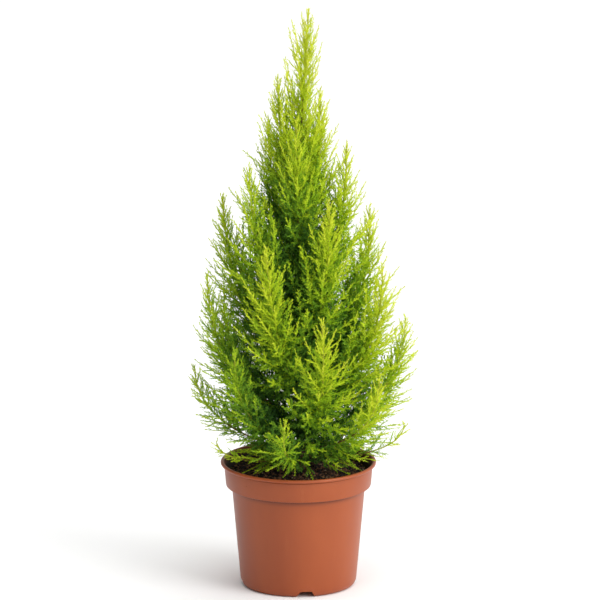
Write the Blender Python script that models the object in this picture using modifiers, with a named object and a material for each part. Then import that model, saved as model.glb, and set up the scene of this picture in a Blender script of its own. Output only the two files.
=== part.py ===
"""A lemon cypress in a nursery pot, standing on the flat underside of the pot.

The pot is a turned shell that is filled with compost. The trunk stands on the compost with its root flare,
leans a little and runs up through the crown. Boughs leave it by the golden angle and turn upwards, and each
carries one upright plume of foliage. A plume is a stem with a finned core, side twigs and toothed sprays,
fused into one solid that keeps to its own space. A leader goes on from the trunk's tip to the crown's top.
Metres, +Z up, with the origin in the middle of the pot's underside.
"""

import math
import random
from collections import namedtuple

import bmesh
import bpy
import numpy as np
from mathutils import Matrix, Vector

MM = 0.001
GOLDEN_ANGLE = math.radians(137.508)
SEAT_GAP = 0.3 * MM

# Pot, whose inside follows its outside at the wall's thickness, a little more at the corners
RIM_RADIUS = 65.0 * MM
RIM_HEIGHT = 106.0 * MM
LIP_RADIUS = 1.5 * MM
WALL = 1.2 * MM
FLOOR_CORNER_WALL = 1.7 * MM
COLLAR_TOP_RADIUS = 62.0 * MM
COLLAR_FOOT_RADIUS = 60.7 * MM
COLLAR_HEIGHT = 17.5 * MM
LEDGE_DROP = 4.4 * MM
LEDGE_EASE = 1.0 * MM
LEDGE_EASE_DROP = 0.6 * MM
BODY_TOP_RADIUS = 55.4 * MM
BODY_FOOT_RADIUS = 48.5 * MM
FOOT_RADIUS = 44.7 * MM
FOOT_ROUND = 6.0 * MM
FOOT_ROUND_POINT = (0.72, 0.3)
FOOT_RING_WIDTH = 2.0 * MM
CHANNEL_HEIGHT = 5.2 * MM
CHANNEL_INNER_RADIUS = 30.0 * MM
FLOOR = 1.4 * MM
POT_STEPS = 28
NOTCHES = 4
NOTCH_TURN = math.radians(7.5)
NOTCH_HEIGHT = 5.2 * MM
NOTCH_FOOT_WIDTH = 15.4 * MM
NOTCH_TOP_WIDTH = 9.6 * MM
NOTCH_CUT_INWARDS = 4.0 * MM
NOTCH_CUT_OUTWARDS = 6.0 * MM
CUT_MARGIN = 1.0 * MM
DRAIN_HOLE_RADIUS = 3.0 * MM

# Compost
COMPOST_EDGE_HEIGHT = 95.0 * MM
COMPOST_CROWN_HEIGHT = 98.5 * MM
COMPOST_SIDE_GAP = 0.45 * MM
COMPOST_RINGS = (0.26, 0.7)
RING_MARGIN = 0.1
COMPOST_LUMP = 0.45 * MM
LUMP_WAVES = (190.0, 230.0, -95.0)

# Trunk
TRUNK_TIP_HEIGHT = 400.0 * MM
TRUNK_FOOT_X = 1.3 * MM
TRUNK_LEAN = 2.6 * MM
TRUNK_SWAY = 1.6 * MM
TRUNK_RADIUS = 2.3 * MM
TRUNK_TIP_RADIUS = 0.6 * MM
ROOT_FLARE = 1.9 * MM
ROOT_FLARE_HEIGHT = 5.0 * MM
TRUNK_RINGS = 16

# Crown
CROWN_FOOT_HEIGHT = 100.0 * MM
CROWN_TOP_HEIGHT = 495.0 * MM
CROWN_RADIUS = 93.0 * MM
CROWN_BELLY = 0.2
CROWN_UNDERCUT = 0.4
CROWN_TAPER = 1.45
CROWN_SWAY_HEIGHTS = np.array([100.0, 240.0, 335.0, 400.0, 440.0, 495.0]) * MM
CROWN_SWAY = np.array([5.0, 5.0, -3.3, -0.8, 2.0, 8.6]) * MM

# Plumes
PLUMES = 28
FIRST_AZIMUTH = math.radians(70.0)
STEM_SEED = 5000
LOWEST_TIP = 116.0 * MM
HIGHEST_TIP = 444.0 * MM
LOWEST_FORK = 5.0 * MM
HIGHEST_FORK = 352.0 * MM
FORK_CROWDING = 3
FORK_SPREAD = 0.15
TIP_CROWDING = 160.0 * MM
STEM_SWAY = 7.0 * MM
REACH_SPREAD = 0.06
BARE_SHARE = 0.18
SHORTEST_BOUGH = 7.0 * MM
BOUGH_RADIUS = 1.15 * MM
BOUGH_POINTS = 3
SLIMMEST_BOUGH = 0.65
STEM_RADIUS = 1.0 * MM
STEM_TIP_RADIUS = 0.5 * MM
STEM_POINTS = 5

# Side twigs and sprays
SIDE_TWIGS = 4
LOWEST_TWIG = 0.3
HIGHEST_TWIG = 0.82
TWIG_ANGLE = math.radians(38.0)
TOP_TWIG_ANGLE = math.radians(24.0)
TWIG_LIFT = 0.34
TWIG_RISE = 0.7
TWIG_SHARE = 0.46
LONGEST_TWIG = 54.0 * MM
TWIG_SPREAD = (0.85, 1.1)
TWIG_RADIUS = 0.8 * MM
TWIG_POINTS = 3
TWIG_CHECKS = (0.5, 0.75, 1.0)
TWIG_SEED = 500
STEM_SPRAYS = 2
SLIMMEST_SPRAY = 0.55
HIGHEST_SPRAY = 0.8
SPRAY_ANGLE = math.radians(34.0)
SPRAY_LENGTH = 42.0 * MM
SPRAY_WIDTH = 0.36
SPRAY_THICKNESS = 0.6 * MM
SPRAY_SINK = 0.2 * MM
SPRAY_TAPER = 0.6
SPRAY_SPREAD = (0.85, 1.1)
SPRAY_SEED = 1000
TIP_SPRAY_SHARE = 0.8
TIP_SPRAY_OVERLAP = 0.9
SHORTENING = (1.0, 0.75, 0.55)
SPACE_GAP = 0.7 * MM
COMPOST_GAP = 1.2 * MM
RIM_ZONE = 7.0 * MM
RIM_CLEARANCE = 6.0 * MM
CORE_OVERREACH = 4.0 * MM
WAY_POINTS = 16
TRUNK_WAY_POINTS = 24
LIMB_GAP = 0.8 * MM

# Finned core of a plume
CORE_RADIUS = 20.0 * MM
CORE_FOOT = 0.22
CORE_TIERS = 5
CORE_FINS = 3
FIN_ROOT = 0.36
FIN_NOTCH = 0.5
FIN_TOOTH = 0.8
FIN_TURN = math.radians(9.0)
CORE_SHARE = 0.48
CORE_SWELL = (0.2, 0.97)
CORE_START = 0.02

# Leader
LEADER_TIP = Vector((8.6 * MM, -1.0 * MM, 494.5 * MM))
LEADER_TWIGS = 8
LEADER_TWIG_LENGTH = 48.0 * MM
LEADER_TWIG_TAPER = 0.3
LOWEST_LEADER_TWIG = 0.05
HIGHEST_LEADER_TWIG = 0.6
LEADER_SPRAY_LENGTH = 28.0 * MM
SLIMMEST_CROWN = 15.0 * MM


def blend(low, high, share):
    return low + (high - low) * share


def crown_share(height):
    """How high up the crown a point lies, from 0 at its foot to 1 at its top."""
    return min(max((height - CROWN_FOOT_HEIGHT) / (CROWN_TOP_HEIGHT - CROWN_FOOT_HEIGHT), 0.0), 1.0)


def crown_radius(height):
    """Radius of the crown's outline at a height: a low belly, then a long taper to the leader."""
    share = crown_share(height)
    if share < CROWN_BELLY:
        return CROWN_RADIUS * (1 - CROWN_UNDERCUT * (1 - share / CROWN_BELLY) ** 3)
    upper = (share - CROWN_BELLY) / (1 - CROWN_BELLY)
    return CROWN_RADIUS * (1 - upper**2) ** CROWN_TAPER


def crown_middle(height):
    """The x of the middle of the crown's outline, which sways more than the trunk does."""
    return float(np.interp(height, CROWN_SWAY_HEIGHTS, CROWN_SWAY))


def trunk_share(height):
    return (height - COMPOST_CROWN_HEIGHT) / (TRUNK_TIP_HEIGHT - COMPOST_CROWN_HEIGHT)


def trunk_point(height):
    """The trunk's own line: upright at the foot, a slow sway, and a lean towards +X."""
    share = trunk_share(height)
    sway = TRUNK_SWAY * math.sin(1.7 * math.pi * share) * share
    return Vector((TRUNK_FOOT_X + TRUNK_LEAN * share**1.4 + sway, 0.6 * sway, height))


def trunk_radius(height):
    share = min(max(trunk_share(height), 0.0), 1.0)
    flare = ROOT_FLARE * math.exp(-(height - COMPOST_CROWN_HEIGHT) / ROOT_FLARE_HEIGHT)
    return TRUNK_TIP_RADIUS + (TRUNK_RADIUS - TRUNK_TIP_RADIUS) * (1 - share) ** 1.2 + flare


def tip_heights():
    """Heights of the plumes' tips: each has a like share of the crown's surface, with more near the top."""
    heights = np.linspace(LOWEST_TIP, HIGHEST_TIP, 200)
    area = np.cumsum([crown_radius(height) + TIP_CROWDING for height in heights])
    shares = (np.arange(PLUMES) + 0.5) / PLUMES
    return np.interp(shares, (area - area[0]) / (area[-1] - area[0]), heights)


def stem_line(number, tip_height):
    """A function of the share from 0 to 1 along one stem, from the trunk's middle out and up to the tip."""
    rng = random.Random(STEM_SEED + number)
    up = (tip_height - LOWEST_TIP) / (HIGHEST_TIP - LOWEST_TIP)
    lowest = COMPOST_CROWN_HEIGHT + LOWEST_FORK
    fork = blend(lowest, HIGHEST_FORK, blend(up**FORK_CROWDING, up, FORK_SPREAD))
    azimuth = FIRST_AZIMUTH + number * GOLDEN_ANGLE
    radial = Vector((math.cos(azimuth), math.sin(azimuth), 0.0))
    across = Vector((-radial.y, radial.x, 0.0))
    reach = crown_radius(tip_height) * (1 - REACH_SPREAD * rng.random())
    sway = STEM_SWAY * rng.uniform(-1.0, 1.0) * reach / CROWN_RADIUS
    start = trunk_point(fork)
    tip = radial * reach + Vector((crown_middle(tip_height), 0.0, fork))

    def at(share):
        out = (tip - start) * (2.0 * share - share**2)
        rise = (tip_height - fork) * (0.5 * share + 0.5 * share**2)
        side = sway * math.sin(math.pi * share)
        return start + out + across * side + Vector((0.0, 0.0, rise))

    return at


def direction(line, share):
    """Unit vector along a line at a share of its length."""
    step = 0.01
    return (line(min(share + step, 1.0)) - line(max(share - step, 0.0))).normalized()


def line_length(line, low=0.0, high=1.0):
    points = [line(share) for share in np.linspace(low, high, WAY_POINTS + 1)]
    return sum((b - a).length for a, b in zip(points, points[1:]))


def turned(along, roll):
    """Unit vector square to a direction, turned round it by roll from the side that looks up."""
    side = along.cross(Vector((0.0, 0.0, 1.0)))
    side = side.normalized() if side.length > 1e-6 else Vector((1.0, 0.0, 0.0))
    return Matrix.Rotation(roll, 3, along) @ side.cross(along).normalized()


def distances(points, way):
    """Distance from each point to a line of straight segments."""
    starts, ends = np.array(way[:-1]), np.array(way[1:])
    spans = ends - starts
    to = points[:, None, :] - starts[None, :, :]
    share = (to * spans).sum(2) / np.maximum((spans**2).sum(1), 1e-12)
    foot = starts + spans * np.clip(share, 0.0, 1.0)[..., None]
    return np.linalg.norm(points[:, None, :] - foot, axis=2).min(1)


Plume = namedtuple("Plume", "name own line low foot twigs spray")
Twig = namedtuple("Twig", "share roll length")
Look = namedtuple("Look", "home finish triangle star spray")


def floor_height(radii):
    """What foliage has to stay above: the compost, and clearly above the rim near the rim and beyond it."""
    over_rim = RIM_HEIGHT + RIM_CLEARANCE
    return np.where(radii > RIM_RADIUS - RIM_ZONE, over_rim, COMPOST_CROWN_HEIGHT + COMPOST_GAP)


class Space:
    """Decides what fits: each plume keeps to the points that are nearer to its own stem than to any other."""

    def __init__(self, lines):
        self.ways = [[line(share) for share in np.linspace(0.0, 1.0, WAY_POINTS + 1)] for line in lines]
        heights = np.linspace(COMPOST_CROWN_HEIGHT, TRUNK_TIP_HEIGHT, TRUNK_WAY_POINTS)
        self.trunk = [trunk_point(height) for height in heights]

    def allows(self, own, points):
        points = np.array(points)
        heights = points[:, 2]
        floor = floor_height(np.hypot(points[:, 0], points[:, 1]))
        if (heights < floor).any() or (heights > CROWN_TOP_HEIGHT).any():
            return False
        middle = np.array([crown_middle(h) for h in heights])
        reach = np.array([max(crown_radius(h), SLIMMEST_CROWN) for h in heights])
        if (np.hypot(points[:, 0] - middle, points[:, 1]) > reach).any():
            return False
        if (distances(points, self.trunk) < [trunk_radius(h) + LIMB_GAP for h in heights]).any():
            return False
        near = distances(points, self.ways[own])
        others = (way for k, way in enumerate(self.ways) if k != own)
        return all((near + SPACE_GAP < distances(points, way)).all() for way in others)

    def core_room(self, own, point):
        """Radius that a plume's core may have round a point of its stem."""
        points = np.array([point])
        others = min(distances(points, way)[0] for k, way in enumerate(self.ways) if k != own)
        trunk = distances(points, self.trunk)[0] - trunk_radius(min(point.z, TRUNK_TIP_HEIGHT)) - 2 * LIMB_GAP
        floor = point.z - floor_height(np.hypot(points[:, 0], points[:, 1]))[0]
        away = math.hypot(point.x - crown_middle(point.z), point.y)
        edge = crown_radius(point.z) + CORE_OVERREACH - away
        return max(min(CORE_SHARE * others, trunk, floor, edge), 0.0)


def material(name, colour, roughness):
    made = bpy.data.materials.new(name)
    made.use_nodes = True
    shader = made.node_tree.nodes["Principled BSDF"]
    shader.inputs["Base Color"].default_value = (*colour, 1.0)
    shader.inputs["Roughness"].default_value = roughness
    made.diffuse_color = (*colour, 1.0)
    return made


def collection(name):
    made = bpy.data.collections.new(name)
    bpy.context.scene.collection.children.link(made)
    return made


def add(name, mesh, home, finish):
    made = bpy.data.objects.new(name, mesh)
    mesh.materials.clear()
    mesh.materials.append(finish)
    home.objects.link(made)
    return made


def as_mesh(curve_object):
    """The curve as a welded mesh, with the curve object removed."""
    graph = bpy.context.evaluated_depsgraph_get()
    mesh = bpy.data.meshes.new_from_object(curve_object.evaluated_get(graph))
    bpy.data.objects.remove(curve_object)
    shape = bmesh.new()
    shape.from_mesh(mesh)
    bmesh.ops.remove_doubles(shape, verts=shape.verts, dist=0.001 * MM)
    bmesh.ops.recalc_face_normals(shape, faces=shape.faces)
    shape.to_mesh(mesh)
    shape.free()
    return mesh


def limb(name, points, radii, home, finish, sides=None, twist=0.0):
    """A tapering limb along points. With sides, the curve's section is that object instead of a round one."""
    curve = bpy.data.curves.new(name, "CURVE")
    curve.dimensions = "3D"
    curve.use_fill_caps = True
    if sides is None:
        curve.bevel_depth = 1.0
        curve.bevel_resolution = 1
    else:
        curve.bevel_mode = "OBJECT"
        curve.bevel_object = sides
    spline = curve.splines.new("POLY")
    spline.points.add(len(points) - 1)
    for k, (slot, point, radius) in enumerate(zip(spline.points, points, radii)):
        slot.co = (*point, 1.0)
        slot.radius = radius
        slot.tilt = k * twist
    made = bpy.data.objects.new(name, curve)
    home.objects.link(made)
    curve.materials.append(finish)
    return made


def section(name, radii, home):
    """A flat closed outline with corners at these radii, all round: the section of a stem or a core."""
    curve = bpy.data.curves.new(name, "CURVE")
    curve.dimensions = "2D"
    spline = curve.splines.new("POLY")
    spline.points.add(len(radii) - 1)
    for k, (slot, radius) in enumerate(zip(spline.points, radii)):
        turn = -k * math.tau / len(radii)
        slot.co = (radius * math.cos(turn), radius * math.sin(turn), 0.0, 1.0)
    spline.use_cyclic_u = True
    made = bpy.data.objects.new(name, curve)
    made.hide_render = True
    home.objects.link(made)
    return made


def turn_profile(name, profile, steps, home, finish):
    """A closed body turned from a profile of (radius, height) that ends on the axis."""
    mesh = bpy.data.meshes.new(name)
    shape = bmesh.new()
    points = [shape.verts.new((radius, 0.0, height)) for radius, height in profile]
    for a, b in zip(points, points[1:]):
        shape.edges.new((a, b))
    shape.to_mesh(mesh)
    shape.free()
    made = add(name, mesh, home, finish)
    screw = made.modifiers.new("turn", "SCREW")
    screw.steps = screw.render_steps = steps
    screw.use_merge_vertices = True
    screw.merge_threshold = 0.01 * MM
    return made


def apply_modifiers(made):
    """Replaces the object's mesh by its evaluated one."""
    graph = bpy.context.evaluated_depsgraph_get()
    mesh = bpy.data.meshes.new_from_object(made.evaluated_get(graph))
    made.modifiers.clear()
    old, made.data = made.data, mesh
    bpy.data.meshes.remove(old)


def lip_arc():
    """The rounded lip, from its inner side over the top to under its outer side."""
    middle = Vector((RIM_RADIUS - LIP_RADIUS, RIM_HEIGHT - LIP_RADIUS))
    turns = [math.radians(angle) for angle in (165, 90, 30, -30, -80)]
    return [(middle.x + LIP_RADIUS * math.cos(a), middle.y + LIP_RADIUS * math.sin(a)) for a in turns]


def pot_profile():
    """The pot from the middle of its floor up the inside, over the lip and down the outside."""
    collar_top = RIM_HEIGHT - 2 * LIP_RADIUS
    collar_foot = collar_top - COLLAR_HEIGHT
    out, up = FOOT_ROUND_POINT
    inside = [
        (0.0, FLOOR),
        (CHANNEL_INNER_RADIUS - WALL, FLOOR),
        (CHANNEL_INNER_RADIUS, CHANNEL_HEIGHT + WALL),
        (BODY_FOOT_RADIUS - FLOOR_CORNER_WALL, CHANNEL_HEIGHT + WALL),
        (BODY_TOP_RADIUS - WALL, collar_foot + WALL),
        (COLLAR_FOOT_RADIUS - WALL, collar_foot + WALL),
        (COLLAR_TOP_RADIUS - WALL, collar_top),
    ]
    outside = [
        (COLLAR_TOP_RADIUS, collar_top),
        (COLLAR_FOOT_RADIUS, collar_foot),
        (BODY_TOP_RADIUS + LEDGE_EASE, collar_foot - LEDGE_EASE_DROP),
        (BODY_TOP_RADIUS, collar_foot - LEDGE_DROP),
        (BODY_FOOT_RADIUS, FOOT_ROUND),
        (blend(FOOT_RADIUS, BODY_FOOT_RADIUS, out), up * FOOT_ROUND),
        (FOOT_RADIUS, 0.0),
        (FOOT_RADIUS - FOOT_RING_WIDTH, 0.0),
        (FOOT_RADIUS - FOOT_RING_WIDTH, CHANNEL_HEIGHT),
        (CHANNEL_INNER_RADIUS + WALL, CHANNEL_HEIGHT),
        (CHANNEL_INNER_RADIUS, 0.0),
        (0.0, 0.0),
    ]
    return inside + lip_arc() + outside


def collar_radius(height):
    """The collar's outside radius at a height."""
    foot = RIM_HEIGHT - 2 * LIP_RADIUS - COLLAR_HEIGHT
    return blend(COLLAR_FOOT_RADIUS, COLLAR_TOP_RADIUS, (height - foot) / COLLAR_HEIGHT)


def notch_cutter(azimuth, home):
    """A block with sloping sides that cuts one notch through the foot ring."""
    shape = bmesh.new()
    bmesh.ops.create_cube(shape, size=1.0)
    widening = (NOTCH_FOOT_WIDTH - NOTCH_TOP_WIDTH) * CUT_MARGIN / NOTCH_HEIGHT
    for corner in shape.verts:
        top = corner.co.z > 0
        corner.co.x = FOOT_RADIUS + (NOTCH_CUT_OUTWARDS if corner.co.x > 0 else -NOTCH_CUT_INWARDS)
        corner.co.y *= NOTCH_TOP_WIDTH if top else NOTCH_FOOT_WIDTH + widening
        corner.co.z = NOTCH_HEIGHT if top else -CUT_MARGIN
    bmesh.ops.rotate(shape, verts=shape.verts, matrix=Matrix.Rotation(azimuth, 3, "Z"))
    return cutter("notch", shape, home)


def drain_cutter(azimuth, home):
    """A post that cuts one drain hole through the roof of the channel."""
    shape = bmesh.new()
    radius = (FOOT_RADIUS + CHANNEL_INNER_RADIUS) / 2
    place = Matrix.Rotation(azimuth, 4, "Z") @ Matrix.Translation((radius, 0.0, CHANNEL_HEIGHT))
    bmesh.ops.create_cone(
        shape,
        cap_ends=True,
        segments=8,
        radius1=DRAIN_HOLE_RADIUS,
        radius2=DRAIN_HOLE_RADIUS,
        depth=6 * WALL,
        matrix=place,
    )
    return cutter("drain", shape, home)


def cutter(name, shape, home):
    mesh = bpy.data.meshes.new(name)
    shape.to_mesh(mesh)
    shape.free()
    made = bpy.data.objects.new(name, mesh)
    made.hide_render = True
    made.display_type = "WIRE"
    home.objects.link(made)
    return made


def make_pot(home, cutters, finish):
    pot = turn_profile("pot", pot_profile(), POT_STEPS, home, finish)
    for k in range(NOTCHES):
        azimuth = k * math.tau / NOTCHES - math.pi / 2 + NOTCH_TURN
        notch_cutter(azimuth, cutters)
        drain_cutter(azimuth + math.pi / NOTCHES, cutters)
    cut = pot.modifiers.new("notches and drain holes", "BOOLEAN")
    cut.operation = "DIFFERENCE"
    cut.operand_type = "COLLECTION"
    cut.collection = cutters
    return pot


def compost_profile(edge):
    """The filling from its mound out, down the wall clear of it, in along the ledge and along the floor."""
    gap = SEAT_GAP
    side_gap = COMPOST_SIDE_GAP
    collar_foot = RIM_HEIGHT - 2 * LIP_RADIUS - COLLAR_HEIGHT
    bottom = CHANNEL_HEIGHT + WALL + gap
    crown = COMPOST_CROWN_HEIGHT - gap
    top = [(0.0, crown), (edge * COMPOST_RINGS[0], crown)]
    for share in COMPOST_RINGS[1:]:
        mound = math.cos(share * math.pi / 2) ** 2
        top.append((edge * share, blend(COMPOST_EDGE_HEIGHT, COMPOST_CROWN_HEIGHT, mound)))
    side = [
        (edge, COMPOST_EDGE_HEIGHT),
        (COLLAR_FOOT_RADIUS - WALL - side_gap, collar_foot + WALL + gap),
        (BODY_TOP_RADIUS - WALL - side_gap, collar_foot + WALL + gap),
        (BODY_FOOT_RADIUS - FLOOR_CORNER_WALL - side_gap, bottom),
        (CHANNEL_INNER_RADIUS - gap, bottom),
        (CHANNEL_INNER_RADIUS - WALL - 2 * gap, FLOOR + gap),
        (0.0, FLOOR + gap),
    ]
    return top + side


def make_compost(home, finish):
    """The filling, with a low mound round the trunk, and lumps between the mound and the edge."""
    edge = collar_radius(COMPOST_EDGE_HEIGHT) - WALL - COMPOST_SIDE_GAP
    compost = turn_profile("compost", compost_profile(edge), POT_STEPS, home, finish)
    apply_modifiers(compost)
    wave_x, wave_y, slant = LUMP_WAVES
    for corner in compost.data.vertices:
        x, y, z = corner.co
        share = math.hypot(x, y) / edge
        if z > COMPOST_EDGE_HEIGHT and COMPOST_RINGS[0] < share - RING_MARGIN < COMPOST_RINGS[-1]:
            corner.co.z += COMPOST_LUMP * (math.sin(wave_x * x) + math.sin(wave_y * y + slant * x))
    return compost


def make_trunk(home, finish):
    shares = [(k / (TRUNK_RINGS - 1)) ** 1.5 for k in range(TRUNK_RINGS)]
    heights = [blend(COMPOST_CROWN_HEIGHT, TRUNK_TIP_HEIGHT, share) for share in shares]
    points = [trunk_point(height) for height in heights]
    points[0] = Vector((points[1].x, points[1].y, COMPOST_CROWN_HEIGHT))
    trunk = limb("trunk", points, [trunk_radius(height) for height in heights], home, finish)
    trunk.data.bevel_resolution = 2
    return trunk


def seat_share(line, own_radius):
    """The share of a stem's line at which its round end lies clear of the trunk by the seat gap."""
    along = direction(line, 0.0)
    start = line(0.0)
    level = math.hypot(along.x, along.y)
    needed = (trunk_radius(start.z) + SEAT_GAP + own_radius * abs(along.z)) / level
    share = 0.0
    while (line(share) - start).length < needed:
        share += 0.001
    return share


def spray_outline():
    """Outline of a unit spray along +X, one unit wide: forward teeth on both sides and a pointed end."""
    return [
        (0.0, 0.0),
        (0.52, -0.50),
        (0.56, -0.16),
        (1.0, 0.0),
        (0.72, 0.20),
        (0.70, 0.48),
    ]


def spray_mesh(home):
    """A unit spray, which every spray is a copy of: a toothed blade made from its flat outline."""
    curve = bpy.data.curves.new("spray", "CURVE")
    curve.dimensions = "2D"
    curve.fill_mode = "BOTH"
    curve.extrude = 0.5
    spline = curve.splines.new("POLY")
    outline = spray_outline()
    spline.points.add(len(outline) - 1)
    for slot, (x, y) in zip(spline.points, outline):
        slot.co = (x, y, 0.0, 1.0)
    spline.use_cyclic_u = True
    made = bpy.data.objects.new("spray", curve)
    home.objects.link(made)
    mesh = as_mesh(made)
    mesh.name = "spray"
    return mesh


def spray_place(root, along, face, length):
    """Matrix that puts the unit spray at root, pointing along, with its flat side square to face."""
    across = face.cross(along).normalized()
    square = along.cross(across).normalized()
    turn = Matrix((along, across, square)).transposed().to_4x4()
    size = Matrix.Diagonal((length, length * SPRAY_WIDTH, SPRAY_THICKNESS, 1.0))
    return Matrix.Translation(root - along * SPRAY_SINK) @ turn @ size


def fitting_spray(space, own, root, along, face, length):
    """The matrix of the longest spray that keeps to the plume's space, or None."""
    outline = [Vector((x, y, 0.0)) for x, y in spray_outline()[1:]]
    for size in SHORTENING:
        place = spray_place(root, along, face, length * size)
        if space.allows(own, [place @ point for point in outline]):
            return place
    return None


def twig_line(line, twig, size):
    """Line of a side twig: it leaves at an angle, less high up, then bends along the stem and upwards."""
    start, along = line(twig.share), direction(line, twig.share)
    out = turned(along, twig.roll)
    angle = blend(TWIG_ANGLE, TOP_TWIG_ANGLE, crown_share(start.z))
    leave = along * math.cos(angle) + out * math.sin(angle)
    bend = (along + Vector((0.0, 0.0, TWIG_RISE))).normalized()
    length = twig.length * size

    def at(part):
        return start + leave * (length * part) + bend * (length * TWIG_LIFT * part**2)

    return at


def fitting_twig(plume, space, twig):
    """The line of the longest such twig that keeps to the plume's space, or None."""
    for size in SHORTENING:
        line = twig_line(plume.line, twig, size)
        if space.allows(plume.own, [line(part) for part in TWIG_CHECKS]):
            return line
    return None


def stem_sprays(plume, space, core):
    """Sprays round a plume's stem by the golden angle, rooted inside its core."""
    rng = random.Random(SPRAY_SEED + plume.own)
    places = []
    for k in range(STEM_SPRAYS):
        share = blend(plume.low, HIGHEST_SPRAY, (k + 0.8) / STEM_SPRAYS)
        along = direction(plume.line, share)
        out = turned(along, plume.own + k * GOLDEN_ANGLE)
        lean = along * math.cos(SPRAY_ANGLE) + out * math.sin(SPRAY_ANGLE)
        root = plume.line(share) + out * core(share) * FIN_ROOT * FIN_NOTCH
        length = plume.spray * blend(1.0, SPRAY_TAPER, share) * rng.uniform(*SPRAY_SPREAD)
        places.append(fitting_spray(space, plume.own, root, lean, out.cross(along), length))
    return [place for place in places if place is not None]


def tip_spray(plume, space, line):
    """The spray that covers the outer part of a side twig, as a list of none or one."""
    along = direction(line, 1.0)
    length = min(plume.spray, TIP_SPRAY_SHARE * line_length(line))
    face = turned(along, line(1.0).x / MM)
    root = line(1.0) - along * length * TIP_SPRAY_OVERLAP
    place = fitting_spray(space, plume.own, root, along, face, length)
    return [] if place is None else [place]


def keep_main_body(made):
    """Drops loose scraps, and fills hollows by dropping their inner walls: the largest closed body stays."""
    shape = bmesh.new()
    shape.from_mesh(made.data)
    left, bodies = set(shape.verts), []
    while left:
        body, edge = set(), [left.pop()]
        while edge:
            corner = edge.pop()
            body.add(corner)
            linked = {e.other_vert(corner) for e in corner.link_edges} & left
            left -= linked
            edge.extend(linked)
        bodies.append(body)
    largest = max(bodies, key=len)
    bmesh.ops.delete(shape, geom=[v for v in shape.verts if v not in largest], context="VERTS")
    shape.to_mesh(made.data)
    shape.free()


def fuse(stem, pieces):
    """One Boolean union of a stem with its twigs and sprays, applied, with the pieces then removed."""
    join = stem.modifiers.new("fuse", "BOOLEAN")
    join.operation = "UNION"
    join.operand_type = "COLLECTION"
    join.collection = pieces
    join.solver = "MANIFOLD"
    apply_modifiers(stem)
    for piece in list(pieces.objects):
        bpy.data.objects.remove(piece)
    bpy.data.collections.remove(pieces)
    keep_main_body(stem)


def stem_object(name, line, low, radius, count, home, look):
    """A three-sided green stem as a mesh, from a share of its line to the tip."""
    parts = [k / (count - 1) for k in range(count)]
    points = [line(blend(low, 1.0, part)) for part in parts]
    radii = [blend(radius, STEM_TIP_RADIUS, part) for part in parts]
    curve = limb(name, points, radii, home, look.finish, look.triangle)
    made = add(name, as_mesh(curve), home, look.finish)
    made.name = name
    return made


def core_radius(plume, space, share):
    """Radius of a plume's core: a spindle from its foot to the tip, no wider than the plume has room for."""
    part = (share - plume.foot) / (1.0 - plume.foot)
    if part < 0.0:
        return 0.0
    swell = math.sin(math.pi * blend(*CORE_SWELL, part))
    return min(CORE_RADIUS * swell, space.core_room(plume.own, plume.line(share)))


def core_object(plume, core, home, look):
    """The dense inside of a plume: a spindle with toothed fins, whose tiers flare towards the tip."""
    step = (1.0 - plume.foot) / CORE_TIERS
    points, radii = [], []
    for k in range(CORE_TIERS):
        for part, size in ((0.0, FIN_NOTCH), (FIN_TOOTH, 1.0)):
            share = plume.foot + step * (k + part)
            points.append(plume.line(share))
            radii.append(size * core(share))
    curve = limb("core", points, radii, home, look.finish, look.star, FIN_TURN)
    return add("core", as_mesh(curve), home, look.finish)


def make_plume(plume, space, look):
    """One mass of foliage: stem, core, twigs and sprays, fused, without those that would leave its space."""
    pieces = collection(plume.name + " pieces")
    stem = stem_object(plume.name, plume.line, plume.low, STEM_RADIUS, STEM_POINTS, look.home, look)

    def core(share):
        return core_radius(plume, space, share)

    core_object(plume, core, pieces, look)
    places = stem_sprays(plume, space, core)
    for line in [fitting_twig(plume, space, twig) for twig in plume.twigs]:
        if line is not None:
            stem_object("twig", line, 0.0, TWIG_RADIUS, TWIG_POINTS, pieces, look)
            places += tip_spray(plume, space, line)
    for place in places:
        mesh = look.spray.copy()
        mesh.transform(place)
        add("spray", mesh, pieces, look.finish)
    fuse(stem, pieces)
    return stem


def plume_twigs(number, line):
    """Side twigs of a plume, round its stem by the golden angle and shorter towards the tip."""
    rng = random.Random(TWIG_SEED + number)
    twigs = []
    for k in range(SIDE_TWIGS):
        share = blend(LOWEST_TWIG, HIGHEST_TWIG, k / (SIDE_TWIGS - 1))
        length = min(TWIG_SHARE * line_length(line, share), LONGEST_TWIG) * rng.uniform(*TWIG_SPREAD)
        twigs.append(Twig(share, number + k * GOLDEN_ANGLE, length))
    return twigs


def leader_line(share):
    """The top shoot, which goes on from just off the trunk's tip."""
    top = trunk_point(TRUNK_TIP_HEIGHT)
    start = top + (LEADER_TIP - top).normalized() * SEAT_GAP
    return start.lerp(LEADER_TIP, share)


def leader_twigs():
    """Side twigs of the leader, round it by the golden angle and shorter towards its tip."""
    twigs = []
    for k in range(LEADER_TWIGS):
        share = blend(LOWEST_LEADER_TWIG, HIGHEST_LEADER_TWIG, k / (LEADER_TWIGS - 1))
        length = LEADER_TWIG_LENGTH * blend(1.0, LEADER_TWIG_TAPER, share)
        twigs.append(Twig(share, k * GOLDEN_ANGLE, length))
    return twigs


def reach_share(line):
    """How far out a plume reaches, as a share of the crown's radius."""
    return min((line(1.0) - line(0.0)).xy.length / CROWN_RADIUS, 1.0)


def make_bough(name, line, seat, home, finish):
    """The bare inner part of a stem, from 0.3 mm off the trunk to where the plume begins."""
    parts = [k / (BOUGH_POINTS - 1) for k in range(BOUGH_POINTS)]
    foot = BOUGH_RADIUS * blend(SLIMMEST_BOUGH, 1.0, reach_share(line))
    points = [line(blend(seat, BARE_SHARE, part)) for part in parts]
    radii = [blend(foot, STEM_RADIUS, part) for part in parts]
    return limb(name, points, radii, home, finish)


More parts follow.
